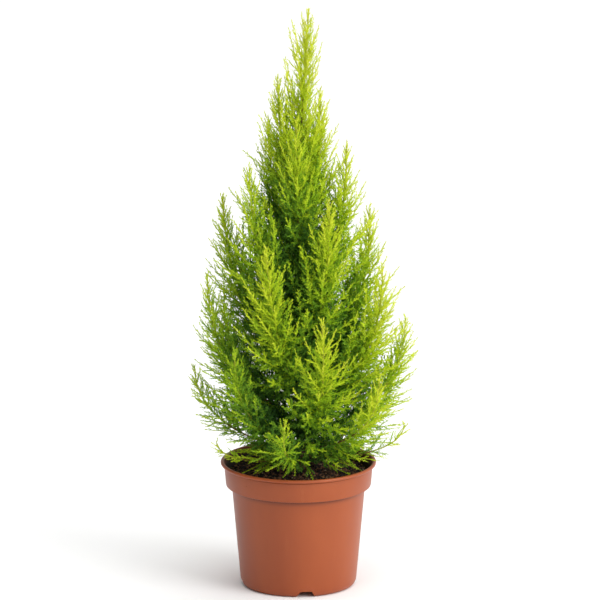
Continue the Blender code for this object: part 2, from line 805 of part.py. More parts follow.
def side_plume(number, line, low):
    size = SPRAY_LENGTH * blend(SLIMMEST_SPRAY, 1.0, reach_share(line))
    foot = max(low + CORE_START, CORE_FOOT)
    return Plume(f"plume_{number + 1:02d}", number, line, low, foot, plume_twigs(number, line), size)


def make_crown(home, helpers, bark, green):
    lines = [stem_line(number, tip) for number, tip in enumerate(tip_heights())]
    space = Space(lines + [leader_line])
    triangle = section("triangle", [1.0] * 3, helpers)
    star = section("star", [1.0, FIN_ROOT] * CORE_FINS, helpers)
    look = Look(home, green, triangle, star, spray_mesh(home))
    for number, line in enumerate(lines):
        seat = seat_share(line, BOUGH_RADIUS)
        low = seat_share(line, STEM_RADIUS)
        if line_length(line, seat, BARE_SHARE) > SHORTEST_BOUGH:
            make_bough(f"bough_{number + 1:02d}", line, seat, home, bark)
            low = BARE_SHARE + SEAT_GAP / line_length(line)
        make_plume(side_plume(number, line, low), space, look)
    leader = Plume("leader", len(lines), leader_line, 0.0, CORE_START, leader_twigs(), LEADER_SPRAY_LENGTH)
    make_plume(leader, space, look)
    bpy.data.meshes.remove(look.spray)


def main():
    for made in list(bpy.data.objects):
        bpy.data.objects.remove(made)
    home = collection("lemon cypress")
    cutters = collection("cutters")
    helpers = collection("helpers")
    terracotta = material("terracotta plastic", (0.47, 0.13, 0.05), 0.42)
    peat = material("peat compost", (0.03, 0.018, 0.01), 0.95)
    bark = material("bark", (0.16, 0.085, 0.045), 0.85)
    green = material("lime foliage", (0.33, 0.52, 0.04), 0.6)
    make_pot(home, cutters, terracotta)
    make_compost(home, peat)
    make_trunk(home, bark)
    make_crown(home, helpers, bark, green)


if __name__ == "__main__":
    main()
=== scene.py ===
# %% [markdown]
# # A lemon cypress in its nursery pot
#
# The plant is a narrow cone of feathery lime-green plumes on a thin trunk, in a round terracotta-coloured
# plastic pot filled with dark peat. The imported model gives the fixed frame: a pot, the compost, a trunk,
# bare boughs and one plain solid for each plume. This lesson dresses that frame. Every plume is grown
# again from the rule that placed it, and carried on to the finest shoots, so the dressed plant has the
# same reach as the solids.

# %% Load the frame
import math
import random
from collections import namedtuple

import bmesh
import bpy
import numpy as np
from mathutils import Matrix, Vector, noise


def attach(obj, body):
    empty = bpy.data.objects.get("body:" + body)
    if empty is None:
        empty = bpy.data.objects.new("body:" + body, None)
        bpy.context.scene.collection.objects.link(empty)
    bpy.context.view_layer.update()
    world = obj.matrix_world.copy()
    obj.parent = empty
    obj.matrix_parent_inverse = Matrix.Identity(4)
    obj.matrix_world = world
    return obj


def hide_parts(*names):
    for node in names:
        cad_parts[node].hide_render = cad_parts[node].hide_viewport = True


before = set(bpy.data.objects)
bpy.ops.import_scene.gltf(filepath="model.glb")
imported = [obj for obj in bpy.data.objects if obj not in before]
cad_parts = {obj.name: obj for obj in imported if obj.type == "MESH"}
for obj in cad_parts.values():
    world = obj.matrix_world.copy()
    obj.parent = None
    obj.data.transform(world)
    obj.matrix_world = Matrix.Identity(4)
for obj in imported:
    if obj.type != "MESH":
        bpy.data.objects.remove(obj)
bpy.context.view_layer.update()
MM = 0.001


# %% Into the scene
def linked(name, data):
    """An object for a mesh, a lamp or a camera, put into the scene."""
    made = bpy.data.objects.new(name, data)
    bpy.context.scene.collection.objects.link(made)
    return made


def mesh_from(name, shape):
    """A mesh of what the bmesh holds. The bmesh is freed."""
    mesh = bpy.data.meshes.new(name)
    shape.to_mesh(mesh)
    shape.free()
    return mesh


# %% [markdown]
# ## Camera
#
# The rim and the foot of the pot show almost the same ellipse, so the photograph was taken with a long
# lens from far away. The ellipse is about a quarter as high as wide, which puts the camera about 15
# degrees above level. A camera at that angle can be placed by two real sizes: the width that the picture
# spans where the plant stands, and the height that lies in the middle of the picture.

# %% Camera
VIEW_ELEVATION = math.radians(14.75)
VIEW_DISTANCE = 12.0
PICTURE_WIDTH = 500.0 * MM
PICTURE_MIDDLE = Vector((1.3 * MM, 0.0, 244.4 * MM))
SENSOR_WIDTH = 36.0
FARTHEST_SEEN = 50.0

lens = bpy.data.cameras.new("camera")
lens.sensor_width = SENSOR_WIDTH
lens.lens = SENSOR_WIDTH * VIEW_DISTANCE / PICTURE_WIDTH
lens.clip_end = FARTHEST_SEEN
camera = linked("camera", lens)
back = Vector((0.0, -math.cos(VIEW_ELEVATION), math.sin(VIEW_ELEVATION)))
camera.location = PICTURE_MIDDLE + back * VIEW_DISTANCE
camera.rotation_euler = back.to_track_quat("Z", "Y").to_euler()
bpy.context.scene.camera = camera
print("lens of", round(lens.lens), "mm, camera at", [round(v, 2) for v in camera.location])

# %% [markdown]
# ## Materials written as expressions
#
# A finish that changes over a surface is a sum of patterns: a wide mottle, a fine grain, a mask for the
# edges. Wiring those by hand hides the sum. Here a small class wraps a socket, so that an expression
# such as `0.25 + mask * 0.5` adds the Math nodes by itself, and one function makes any other node from
# its type, its settings and its inputs.


# %% Sockets as values
def put(slot, item):
    """Links a value to a socket, or sets the socket to a plain number or colour."""
    if isinstance(item, Value):
        slot.id_data.links.new(item.socket, slot)
    else:
        slot.default_value = item


def new_node(tree, kind, settings=(), inputs=(), output=0):
    """Any node of a tree: its settings come first, then its sockets are fed. Gives back one output."""
    made = tree.nodes.new(kind)
    for name, item in dict(settings).items():
        setattr(made, name, item)
    for socket, item in dict(inputs).items():
        put(made.inputs[socket], item)
    return Value(made.outputs[output])


class Value:
    """One output socket of a material, so that shader maths reads as Python."""

    def __init__(self, socket):
        self.socket = socket

    def maths(self, operation, first, second):
        """The output of a new Math node."""
        node = self.socket.id_data.nodes.new("ShaderNodeMath")
        node.operation = operation
        put(node.inputs[0], first)
        put(node.inputs[1], second)
        return Value(node.outputs[0])

    def __add__(self, other):
        return self.maths("ADD", self, other)

    def __radd__(self, other):
        return self.maths("ADD", other, self)

    def __mul__(self, other):
        return self.maths("MULTIPLY", self, other)

    def __pow__(self, other):
        return self.maths("POWER", self, other)


class Finish:
    """A material with one Principled shader, and short names for the nodes that this plant needs."""

    def __init__(self, name, **plain):
        self.material = bpy.data.materials.new(name)
        self.material.use_nodes = True
        self.tree = self.material.node_tree
        self.shader = self.tree.nodes["Principled BSDF"]
        for socket, item in plain.items():
            self.shader.inputs[socket.replace("_", " ")].default_value = item

    def node(self, kind, settings=(), inputs=(), output=0):
        return new_node(self.tree, kind, settings, inputs, output)

    def place(self, stretch=(1.0, 1.0, 1.0)):
        """Object coordinates, stretched so that a pattern runs along one direction."""
        where = self.node("ShaderNodeTexCoord", output="Object")
        return self.node("ShaderNodeMapping", inputs={"Vector": where, "Scale": stretch})

    def height(self):
        """The height of each place above the floor."""
        return self.node("ShaderNodeSeparateXYZ", inputs={"Vector": self.place()}, output="Z")

    def grain(self, where, scale, detail=3.0, roughness=0.5):
        """Noise from 0 to 1 at those coordinates."""
        inputs = {"Vector": where, "Scale": scale, "Detail": detail, "Roughness": roughness}
        return self.node("ShaderNodeTexNoise", inputs=inputs)

    def step(self, item, low, high):
        """A rise from 0 at low to 1 at high, held at both ends. With low above high it falls."""
        inputs = {"Value": item, "From Min": low, "From Max": high}
        return self.node("ShaderNodeMapRange", inputs=inputs)

    def mix(self, share, first, second):
        """The first colour, with a share of the second. Sockets 6 and 7 are the node's two colours."""
        inputs = {"Factor": share, 6: first, 7: second}
        return self.node("ShaderNodeMix", {"data_type": "RGBA"}, inputs, output=2)

    def bump(self, height, distance, strength=1.0):
        """Relief that bends the light only, by a pattern as its height."""
        inputs = {"Height": height, "Distance": distance, "Strength": strength}
        put(self.shader.inputs["Normal"], self.node("ShaderNodeBump", inputs=inputs))

    def feed(self, socket, item):
        """Gives one of the shader's inputs a pattern or a plain value."""
        put(self.shader.inputs[socket], item)


def colour(red, green, blue):
    """A colour as a screen shows it, 0 to 255, in a shader's linear numbers and with an opacity of 1."""
    return (*((part / 255.0) ** 2.2 for part in (red, green, blue)), 1.0)


print("a middle grey in linear numbers:", [round(part, 3) for part in colour(128, 128, 128)])

# %% [markdown]
# ## Light and floor
#
# The picture has a studio's even light: no hard shadow anywhere, a white surround that leaves a pale
# sheen along both sides of the pot, and clearly more light from the right. So the surround is a white
# world that gets brighter towards the right, a large lamp adds to it there, and a wide sun from above
# makes the floor white and lights the tips of the plumes.

# %% Light and floor
SURROUND_LEFT = 0.08
SURROUND_RIGHT = 1.2
TOP_LIGHT = 1.5
SIDE_LIGHT = 40.0
SIDE_LIGHT_PLACE = Vector((2.0, -1.5, 1.3))
SIDE_LIGHT_SIZE = 1.4
TOP_LIGHT_PLACE = Vector((0.1, -0.25, 2.0))
TOP_LIGHT_ANGLE = math.radians(60)
FLOOR_SIZE = 16.0


def lamp(name, kind, place, power, size):
    """A soft lamp that looks at the middle of the plant: size is in metres, or an angle for a sun."""
    light = bpy.data.lights.new(name, kind)
    light.energy = power
    if kind == "SUN":
        light.angle = size
    else:
        light.size = size
    made = linked(name, light)
    made.location = place
    made.rotation_euler = (place - PICTURE_MIDDLE).to_track_quat("Z", "Y").to_euler()


def sideways_surround():
    """A white world whose strength rises from the left to the right."""
    made = bpy.data.worlds.new("white surround")
    made.use_nodes = True
    tree = made.node_tree
    where = new_node(tree, "ShaderNodeTexCoord", output="Generated")
    sideways = new_node(tree, "ShaderNodeSeparateXYZ", inputs={"Vector": where}, output="X")
    spread = {"Value": sideways, "From Min": -1.0, "To Min": SURROUND_LEFT, "To Max": SURROUND_RIGHT}
    background = tree.nodes["Background"]
    put(background.inputs["Strength"], new_node(tree, "ShaderNodeMapRange", inputs=spread))
    put(background.inputs["Color"], (1.0, 1.0, 1.0, 1.0))
    return made


bpy.context.scene.world = sideways_surround()
lamp("top light", "SUN", TOP_LIGHT_PLACE, TOP_LIGHT, TOP_LIGHT_ANGLE)
lamp("side light", "AREA", SIDE_LIGHT_PLACE, SIDE_LIGHT, SIDE_LIGHT_SIZE)

floor_shape = bmesh.new()
bmesh.ops.create_grid(floor_shape, x_segments=1, y_segments=1, size=FLOOR_SIZE / 2)
floor = linked("floor", mesh_from("floor", floor_shape))
pale = Finish("pale floor", Base_Color=(0.95, 0.95, 0.95, 1.0), Roughness=0.9)
floor.data.materials.append(pale.material)
bpy.context.scene.view_settings.view_transform = "Standard"
print("lamps", [o.name for o in bpy.data.objects if o.type == "LIGHT"])

# %% [markdown]
# ## Pot
#
# The pot is moulded in polypropylene: a plain tapered body, a taller and slightly wider collar with a
# small ledge under it, a bead of a lip, and four notches in the foot ring for the water. Such a shape is
# turned, so its section is drawn once as a chain of points, with more of them round each soft corner, and
# spun round the axis. The notches are cut afterwards. A subdivided cylinder could be pulled into shape as
# well, but the section keeps the real sizes.

# %% Pot sizes
RIM_RADIUS = 65.0 * MM
RIM_HEIGHT = 106.0 * MM
LIP_RADIUS = 1.5 * MM
WALL = 1.2 * MM
COLLAR_TOP_RADIUS = 62.0 * MM
COLLAR_FOOT_RADIUS = 60.7 * MM
COLLAR_HEIGHT = 17.5 * MM
COLLAR_TOP_HEIGHT = RIM_HEIGHT - 2 * LIP_RADIUS
COLLAR_FOOT_HEIGHT = COLLAR_TOP_HEIGHT - COLLAR_HEIGHT
BEAD = 0.25 * MM
LIP_STEPS = 16
LEDGE_DROP = 4.4 * MM
LEDGE_CURVE = ((1.6 * MM, 0.06), (0.8 * MM, 0.18), (0.3 * MM, 0.42))
BODY_TOP_RADIUS = 55.4 * MM
BODY_FOOT_RADIUS = 48.5 * MM
FOOT_RADIUS = 44.7 * MM
FOOT_ROUND = 6.0 * MM
FOOT_CURVE = ((0.94, 0.68), (0.74, 0.36), (0.42, 0.12))
FOOT_RING_WIDTH = 2.0 * MM
CHANNEL_HEIGHT = 5.2 * MM
CHANNEL_INNER_RADIUS = 30.0 * MM
CHANNEL_OUTER_RADIUS = BODY_FOOT_RADIUS - 1.4 * WALL
FLOOR = 1.4 * MM
POT_STEPS = 144
NOTCHES = 4
NOTCH_TURN = math.radians(7.5)
NOTCH_HEIGHT = 5.2 * MM
NOTCH_FOOT_WIDTH = 15.4 * MM
NOTCH_TOP_WIDTH = 9.6 * MM
NOTCH_SPLAY = 1.12
NOTCH_INWARDS = 4.0 * MM
NOTCH_OUTWARDS = 6.0 * MM
NOTCH_ROUND = 1.0 * MM


def blend(low, high, share):
    """The value at a share of the way from low to high."""
    return low + (high - low) * share


def arc(middle, radius, first, last, steps):
    """Points on an arc of a section, by angle in degrees."""
    turns = [math.radians(blend(first, last, k / steps)) for k in range(steps + 1)]
    return [(middle[0] + radius * math.cos(a), middle[1] + radius * math.sin(a)) for a in turns]


def pot_section():
    """The section from the middle of the floor up the inside, over the lip and down the outside."""
    inside = [
        (0.0, FLOOR),
        (CHANNEL_INNER_RADIUS - WALL, FLOOR),
        (CHANNEL_INNER_RADIUS, CHANNEL_HEIGHT + WALL),
        (CHANNEL_OUTER_RADIUS, CHANNEL_HEIGHT + WALL),
        (BODY_TOP_RADIUS - WALL, COLLAR_FOOT_HEIGHT + WALL),
        (COLLAR_FOOT_RADIUS - WALL, COLLAR_FOOT_HEIGHT + WALL),
        (COLLAR_TOP_RADIUS - WALL, COLLAR_TOP_HEIGHT),
    ]
    lip = arc((RIM_RADIUS - LIP_RADIUS, RIM_HEIGHT - LIP_RADIUS), LIP_RADIUS, 172, -88, LIP_STEPS)
    collar = [
        (COLLAR_TOP_RADIUS - 2 * BEAD, COLLAR_TOP_HEIGHT),
        (COLLAR_TOP_RADIUS - 2 * BEAD, COLLAR_TOP_HEIGHT - 0.5 * MM),
        (COLLAR_TOP_RADIUS - 0.2 * BEAD, COLLAR_TOP_HEIGHT - 0.9 * MM),
        (COLLAR_TOP_RADIUS, COLLAR_TOP_HEIGHT - 1.6 * MM),
        (COLLAR_FOOT_RADIUS + 0.05 * MM, COLLAR_FOOT_HEIGHT + 0.9 * MM),
        (COLLAR_FOOT_RADIUS - 0.15 * MM, COLLAR_FOOT_HEIGHT + 0.3 * MM),
        (COLLAR_FOOT_RADIUS - 0.7 * MM, COLLAR_FOOT_HEIGHT),
    ]
    body = [(BODY_TOP_RADIUS + out, COLLAR_FOOT_HEIGHT - drop * LEDGE_DROP) for out, drop in LEDGE_CURVE]
    body += [
        (BODY_TOP_RADIUS, COLLAR_FOOT_HEIGHT - LEDGE_DROP),
        (BODY_FOOT_RADIUS + 0.1 * MM, FOOT_ROUND + 0.4 * MM),
    ]
    body += [(blend(FOOT_RADIUS, BODY_FOOT_RADIUS, out), up * FOOT_ROUND) for out, up in FOOT_CURVE]
    foot = [
        (FOOT_RADIUS, 0.0),
        (FOOT_RADIUS - FOOT_RING_WIDTH, 0.0),
        (FOOT_RADIUS - FOOT_RING_WIDTH, CHANNEL_HEIGHT),
        (CHANNEL_INNER_RADIUS + WALL, CHANNEL_HEIGHT),
        (CHANNEL_INNER_RADIUS, 0.0),
        (0.0, 0.0),
    ]
    return inside + lip + collar + body + foot


print("points in the pot's section:", len(pot_section()))


# %% Turning and cutting helpers
SHARP_FROM = math.radians(38)
MERGE_DISTANCE = 0.001 * MM


def spun(section, steps):
    """A closed body, spun from a section of (radius, height) points that ends on the axis."""
    shape = bmesh.new()
    chain = [shape.verts.new((radius, 0.0, height)) for radius, height in section]
    edges = [shape.edges.new(pair) for pair in zip(chain, chain[1:])]
    bmesh.ops.spin(
        shape,
        geom=chain + edges,
        cent=(0.0, 0.0, 0.0),
        axis=(0.0, 0.0, 1.0),
        angle=math.tau,
        steps=steps,
        use_merge=True,
    )
    bmesh.ops.remove_doubles(shape, verts=shape.verts, dist=MERGE_DISTANCE)
    bmesh.ops.recalc_face_normals(shape, faces=shape.faces)
    return shape


def riding(name, mesh, finishes, smooth):
    """The mesh as an object at the origin, in its finishes, that rides on the plant's one body."""
    for finish in finishes:
        mesh.materials.append(finish.material)
    mesh.polygons.foreach_set("use_smooth", np.full(len(mesh.polygons), smooth))
    made = linked(name, mesh)
    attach(made, "root")
    return made


def finished(name, shape, finishes):
    """A smooth piece from a bmesh."""
    return riding(name, mesh_from(name, shape), finishes, True)


def notch_block(azimuth):
    """A block with sloping sides and two rounded edges, as large as one notch and a little longer."""
    shape = bmesh.new()
    bmesh.ops.create_cube(shape, size=1.0)
    for corner in shape.verts:
        top = corner.co.z > 0
        corner.co.x = FOOT_RADIUS + (NOTCH_OUTWARDS if corner.co.x > 0 else -NOTCH_INWARDS)
        corner.co.y *= NOTCH_TOP_WIDTH if top else NOTCH_FOOT_WIDTH * NOTCH_SPLAY
        corner.co.z = NOTCH_HEIGHT if top else -1.0 * MM
    upper = [edge for edge in shape.edges if all(corner.co.z > 0 for corner in edge.verts)]
    bmesh.ops.bevel(
        shape,
        geom=[edge for edge in upper if abs(edge.verts[0].co.y - edge.verts[1].co.y) < MM],
        offset=NOTCH_ROUND,
        segments=3,
        profile=0.5,
        affect="EDGES",
        material=-1,
    )
    bmesh.ops.rotate(shape, verts=shape.verts, matrix=Matrix.Rotation(azimuth, 3, "Z"))
    return linked("notch block", mesh_from("notch block", shape))


def cut_away(piece, blocks):
    """Cuts each block out of the piece and removes the block. Only the sharpest edges are shaded sharp."""
    for block in blocks:
        cut = piece.modifiers.new("cut", "BOOLEAN")
        cut.operation = "DIFFERENCE"
        cut.solver = "EXACT"
        cut.object = block
    graph = bpy.context.evaluated_depsgraph_get()
    mesh = bpy.data.meshes.new_from_object(piece.evaluated_get(graph))
    piece.modifiers.clear()
    piece.data = mesh
    for block in blocks:
        bpy.data.objects.remove(block)
    mesh.polygons.foreach_set("use_smooth", [True] * len(mesh.polygons))
    mesh.set_sharp_from_angle(angle=SHARP_FROM)


# %% [markdown]
# ### Terracotta-coloured plastic
#
# The plastic is coloured right through, so it has no paint edge. Close up it shows a faint flow mottle,
# fine specks of pigment and light rubbing on the collar and the foot, where pots are stacked in each
# other. The gloss is a satin one and uneven. Noise on Object coordinates gives all three, because the pot
# needs no unwrapping for it. Under the collar and under the lip the tone is darkened by height: that is
# painted shade, standing in for the shadow of each overhang.

# %% Plastic of the pot
TERRACOTTA = colour(155, 75, 35)
TERRACOTTA_DEEP = colour(142, 66, 30)
TERRACOTTA_WORN = colour(174, 100, 58)
# The colour of the painted shade under the collar and the lip, and how far that painted shade reaches.
OVERHANG_SHADE = colour(80, 34, 15)
STAINED_SHADED = colour(52, 32, 20)
OVERHANG_SHADE_DROP = 6.5 * MM
LIP_SHADE_BAND = 0.8 * MM
SHARP_EDGE = 0.3 * MM
FLOW_SCALE = 22.0
SPECK_SCALE = 900.0
RUB_SCALE = 160.0
PORE_SCALE = 1400.0
STAIN_SCALE = 120.0

plastic = Finish("terracotta plastic", Roughness=0.42, IOR=1.45)
flow = plastic.grain(plastic.place((1.0, 1.0, 0.35)), FLOW_SCALE, 4.0)
specks = plastic.step(plastic.grain(plastic.place(), SPECK_SCALE, 2.0), 0.66, 0.74)
rubbed = plastic.step(plastic.grain(plastic.place((1.0, 1.0, 0.2)), RUB_SCALE, 5.0, 0.7), 0.6, 0.78)
height = plastic.height()
at_collar = plastic.step(height, RIM_HEIGHT - 24 * MM, RIM_HEIGHT - 20 * MM)
at_foot = plastic.step(height, 9 * MM, 2 * MM)
wear = rubbed * (0.25 + at_collar * 0.35 + at_foot * 0.5)
base = plastic.mix(plastic.step(flow, 0.35, 0.65), TERRACOTTA_DEEP, TERRACOTTA)
base = plastic.mix(wear * 0.45, base, TERRACOTTA_WORN)
base = plastic.mix(specks * 0.3, base, TERRACOTTA_DEEP)
# Painted shade: a dark band just under the collar and a thin dark line under the lip, as the shadows of the
# two overhangs.
below_collar = plastic.step(height, COLLAR_FOOT_HEIGHT, COLLAR_FOOT_HEIGHT - SHARP_EDGE)
near_collar = plastic.step(height, COLLAR_FOOT_HEIGHT - OVERHANG_SHADE_DROP, COLLAR_FOOT_HEIGHT - 1.0 * MM) ** 2
near_lip = plastic.step(height, COLLAR_TOP_HEIGHT - LIP_SHADE_BAND, COLLAR_TOP_HEIGHT)
under_lip = near_lip * plastic.step(height, COLLAR_TOP_HEIGHT + SHARP_EDGE, COLLAR_TOP_HEIGHT)
base = plastic.mix(below_collar * near_collar * 0.9, base, OVERHANG_SHADE)
base = plastic.mix(under_lip * 0.8, base, OVERHANG_SHADE)
plastic.feed("Base Color", base)
plastic.feed("Roughness", 0.36 + flow * 0.1 + wear * 0.18)
pores = plastic.grain(plastic.place(), PORE_SCALE, 2.0)
plastic.bump(flow * 0.6 + pores * 0.4, 0.05 * MM, 0.6)
print("nodes in the plastic:", len(plastic.tree.nodes))

# The inside wall below the rim is dark brown, lighter towards the rim: partly soil stains and partly painted
# shade inside the pot.
stained_shaded = Finish("soiled inner wall", Roughness=0.7, IOR=1.49)
stain = stained_shaded.grain(stained_shaded.place((1.0, 1.0, 0.5)), STAIN_SCALE, 5.0, 0.7)
clean_and_lit = stained_shaded.step(stained_shaded.height() + stain * 6 * MM, RIM_HEIGHT - 3 * MM, RIM_HEIGHT + 3 * MM)
stained_shaded.feed("Base Color", stained_shaded.mix(clean_and_lit, STAINED_SHADED, TERRACOTTA_DEEP))
stained_shaded.bump(stain, 0.3 * MM, 0.6)

# %% Pot piece
STAINED_SHADED_DROP = 20.0 * MM

pot_shape = spun(pot_section(), POT_STEPS)
# Faces of the inside wall below the rim take the finish of soil stains and painted shade.
for face in pot_shape.faces:
    middle = face.calc_center_median()
    inwards = face.normal.x * middle.x + face.normal.y * middle.y < 0
    face.material_index = int(inwards and RIM_HEIGHT - STAINED_SHADED_DROP < middle.z < RIM_HEIGHT - LIP_RADIUS)
pot = finished("nursery_pot", pot_shape, [plastic, stained_shaded])
cut_away(pot, [notch_block(k * math.tau / NOTCHES - math.pi / 2 + NOTCH_TURN) for k in range(NOTCHES)])
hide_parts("pot")
print("pot faces", len(pot.data.polygons))

# %% [markdown]
# ## Compost
#
# Moist peat settles into a dark, crumbly bed about a centimetre under the rim, a little higher round the
# trunk. A flat disc would look like paper, so the top is spun with many rings, raised and sunk by noise,
# and covered with loose crumbs, fibres and a few pale grains. The crumbs are one small rock shape that is
# stamped many times.

# %% Compost sizes and finishes
COMPOST_EDGE_HEIGHT = 95.0 * MM
COMPOST_CROWN_HEIGHT = 98.5 * MM
COMPOST_SIDE_GAP = 0.45 * MM
EDGE_SHARE = (COMPOST_EDGE_HEIGHT - COLLAR_FOOT_HEIGHT) / COLLAR_HEIGHT
COMPOST_EDGE_RADIUS = blend(COLLAR_FOOT_RADIUS, COLLAR_TOP_RADIUS, EDGE_SHARE) - WALL - COMPOST_SIDE_GAP
COMPOST_RINGS = 56
COMPOST_STEPS = 150
COMPOST_UNDER_GAP = 0.3 * MM
LUMP_FALL = 0.4 * MM
WIDE_LUMPS = 0.9 * MM
WIDE_LUMP_SCALE = 90.0
FINE_LUMPS = 0.5 * MM
FINE_LUMP_SCALE = 330.0
CLOD_SCALE = 260.0
DAMP_SCALE = 45.0

peat = Finish("peat compost", Roughness=0.95, Specular_IOR_Level=0.25)
clods = peat.grain(peat.place(), CLOD_SCALE, 6.0, 0.7)
damp = peat.grain(peat.place(), DAMP_SCALE)
peat_tone = peat.mix(peat.step(clods, 0.35, 0.7), colour(24, 16, 11), colour(66, 45, 31))
peat.feed("Base Color", peat.mix(peat.step(damp, 0.4, 0.65) * 0.5, peat_tone, colour(34, 22, 15)))
peat.bump(clods, 0.8 * MM, 0.8)
peat_crumb = Finish("peat crumbs", Base_Color=colour(74, 49, 33), Roughness=0.95)
peat_light = Finish("light peat crumbs", Base_Color=colour(112, 79, 52), Roughness=0.95)
peat_dark = Finish("dark peat crumbs", Base_Color=colour(30, 20, 14), Roughness=0.95)
pale_grain = Finish("pale grains", Base_Color=colour(178, 158, 128), Roughness=0.9)
fibre = Finish("peat fibres", Base_Color=colour(104, 72, 46), Roughness=0.9)


def compost_height(radius):
    """Height of the compost's top, without its lumps."""
    share = min(radius / COMPOST_EDGE_RADIUS, 1.0)
    mound = blend(COMPOST_EDGE_HEIGHT, COMPOST_CROWN_HEIGHT, math.cos(share * math.pi / 2) ** 2)
    return mound - LUMP_FALL


def lump(x, y):
    """How far the lumps raise or sink the compost's top."""
    wide = noise.noise(Vector((x, y, 0.0)) * WIDE_LUMP_SCALE)
    fine = noise.noise(Vector((x, y, 3.0)) * FINE_LUMP_SCALE)
    return WIDE_LUMPS * wide + FINE_LUMPS * fine


def compost_section():
    """The section from the middle of the top out to the wall, down it and in under the filling."""
    rings = [COMPOST_EDGE_RADIUS * k / COMPOST_RINGS for k in range(COMPOST_RINGS + 1)]
    ledge = COLLAR_FOOT_HEIGHT + WALL + COMPOST_UNDER_GAP
    bottom = CHANNEL_HEIGHT + WALL + COMPOST_UNDER_GAP
    return [(radius, compost_height(radius)) for radius in rings] + [
        (COLLAR_FOOT_RADIUS - WALL - COMPOST_SIDE_GAP, ledge),
        (BODY_TOP_RADIUS - WALL - COMPOST_SIDE_GAP, ledge),
        (CHANNEL_OUTER_RADIUS - COMPOST_SIDE_GAP, bottom),
        (CHANNEL_INNER_RADIUS - COMPOST_UNDER_GAP, bottom),
        (CHANNEL_INNER_RADIUS - WALL - 2 * COMPOST_UNDER_GAP, FLOOR + COMPOST_UNDER_GAP),
        (0.0, FLOOR + COMPOST_UNDER_GAP),
    ]


compost_shape = spun(compost_section(), COMPOST_STEPS)
for corner in compost_shape.verts:
    radius = corner.co.xy.length
    if corner.co.z > COMPOST_EDGE_HEIGHT - 1.0 * MM and radius < COMPOST_EDGE_RADIUS - 0.2 * MM:
        corner.co.z += lump(corner.co.x, corner.co.y)
compost = finished("compost_bed", compost_shape, [peat])
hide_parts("compost")
print("compost faces", len(compost.data.polygons))

# %% [markdown]
# ### Stamping one shape many times
#
# Crumbs, shoots and needles come in thousands. A particle system would draw them, but they'd be lost when
# the model is saved for another program, so they are real meshes. One small shape is modelled with
# operators and read into arrays, and then every copy is placed at once by array maths. One mesh holds all
# the copies, with a material number for each face.

# %% Stamping helpers
CRUMB_EDGE_GAP = 1.2 * MM
Shape = namedtuple("Shape", "points faces")


def shape_arrays(shape):
    """The corners and triangles of a bmesh as arrays, with the bmesh freed."""
    bmesh.ops.triangulate(shape, faces=shape.faces)
    shape.verts.index_update()
    points = np.array([corner.co for corner in shape.verts])
    faces = np.array([[corner.index for corner in face.verts] for face in shape.faces])
    shape.free()
    return Shape(points, faces)


def unit(vectors):
    """The same directions, each one unit long."""
    return vectors / np.maximum(np.linalg.norm(vectors, axis=-1, keepdims=True), 1e-12)


def joined(name, points, faces, tones, finishes):
    """One piece from stamped copies: points is copies by corners by 3, faces is the triangles of one copy."""
    copies, corners = points.shape[:2]
    index = (faces[None] + (np.arange(copies) * corners)[:, None, None]).reshape(-1)
    mesh = bpy.data.meshes.new(name)
    mesh.vertices.add(copies * corners)
    mesh.vertices.foreach_set("co", points.reshape(-1).astype(np.float32))
    mesh.loops.add(len(index))
    mesh.loops.foreach_set("vertex_index", index.astype(np.int32))
    mesh.polygons.add(len(index) // 3)
    mesh.polygons.foreach_set("loop_start", np.arange(0, len(index), 3, dtype=np.int32))
    mesh.polygons.foreach_set("material_index", np.repeat(tones, len(faces)).astype(np.int32))
    mesh.update(calc_edges=True)
    return riding(name, mesh, finishes, False)


def random_turns(rng, count):
    """Rotation matrices that point every way equally."""
    first = unit(rng.normal(size=(count, 3)))
    second = unit(np.cross(first, rng.normal(size=(count, 3))))
    return np.stack([first, second, np.cross(first, second)], axis=1)


def on_compost(rng, count, bury):
    """Places on the compost's top, even over its area, each moved up by bury."""
    radius = (COMPOST_EDGE_RADIUS - CRUMB_EDGE_GAP) * np.sqrt(rng.random(count))
    turn = math.tau * rng.random(count)
    x, y = radius * np.cos(turn), radius * np.sin(turn)
    z = [compost_height(r) + lump(a, b) for r, a, b in zip(radius, x, y)]
    return np.stack([x, y, np.array(z) + bury], axis=1)


# %% Crumbs, grains and fibres
CRUMBS = 5200
PALE_GRAINS = 70
FIBRES = 260


def crumb_shape():
    """A small broken lump: a coarse ball with its corners pushed in and out."""
    shape = bmesh.new()
    bmesh.ops.create_icosphere(shape, subdivisions=1, radius=1.0)
    for corner in shape.verts:
        corner.co *= 1.0 + 0.35 * noise.noise(corner.co * 1.7)
    return shape_arrays(shape)


def straw(middle, foot, tip, closed=False):
    """A three-sided straw one unit long along X, from its middle and the radii of its two ends."""
    shape = bmesh.new()
    along_x = Matrix.Translation((middle, 0.0, 0.0)) @ Matrix.Rotation(math.pi / 2, 4, "Y")
    bmesh.ops.create_cone(
        shape, cap_ends=closed, segments=3, radius1=foot, radius2=tip, depth=1.0, matrix=along_x
    )
    return shape


def jointed(shape, cuts):
    """The straw with its long edges cut, so that it can bend."""
    long_edges = [edge for edge in shape.edges if abs(edge.verts[0].co.x - edge.verts[1].co.x) > 0.5]
    bmesh.ops.subdivide_edges(shape, edges=long_edges, cuts=cuts)
    return shape


def fibre_shape():
    """A closed and bent straw, one unit long."""
    shape = jointed(straw(0.0, 0.03, 0.018, closed=True), 2)
    for corner in shape.verts:
        corner.co.z -= 0.35 * corner.co.x**2
    return shape_arrays(shape)


def scatter(name, shape, count, sizes, squash, bury, finishes, seed):
    """Copies of a shape strewn over the compost, most of them small."""
    rng = np.random.default_rng(seed)
    turns = random_turns(rng, count)
    size = (sizes[0] + (sizes[1] - sizes[0]) * rng.random(count) ** 2.2)[:, None, None]
    points = (shape.points[None] * size) @ turns
    points[..., 2] *= squash
    points += on_compost(rng, count, bury)[:, None, :]
    made = joined(name, points, shape.faces, rng.integers(0, len(finishes), count), finishes)
    return made


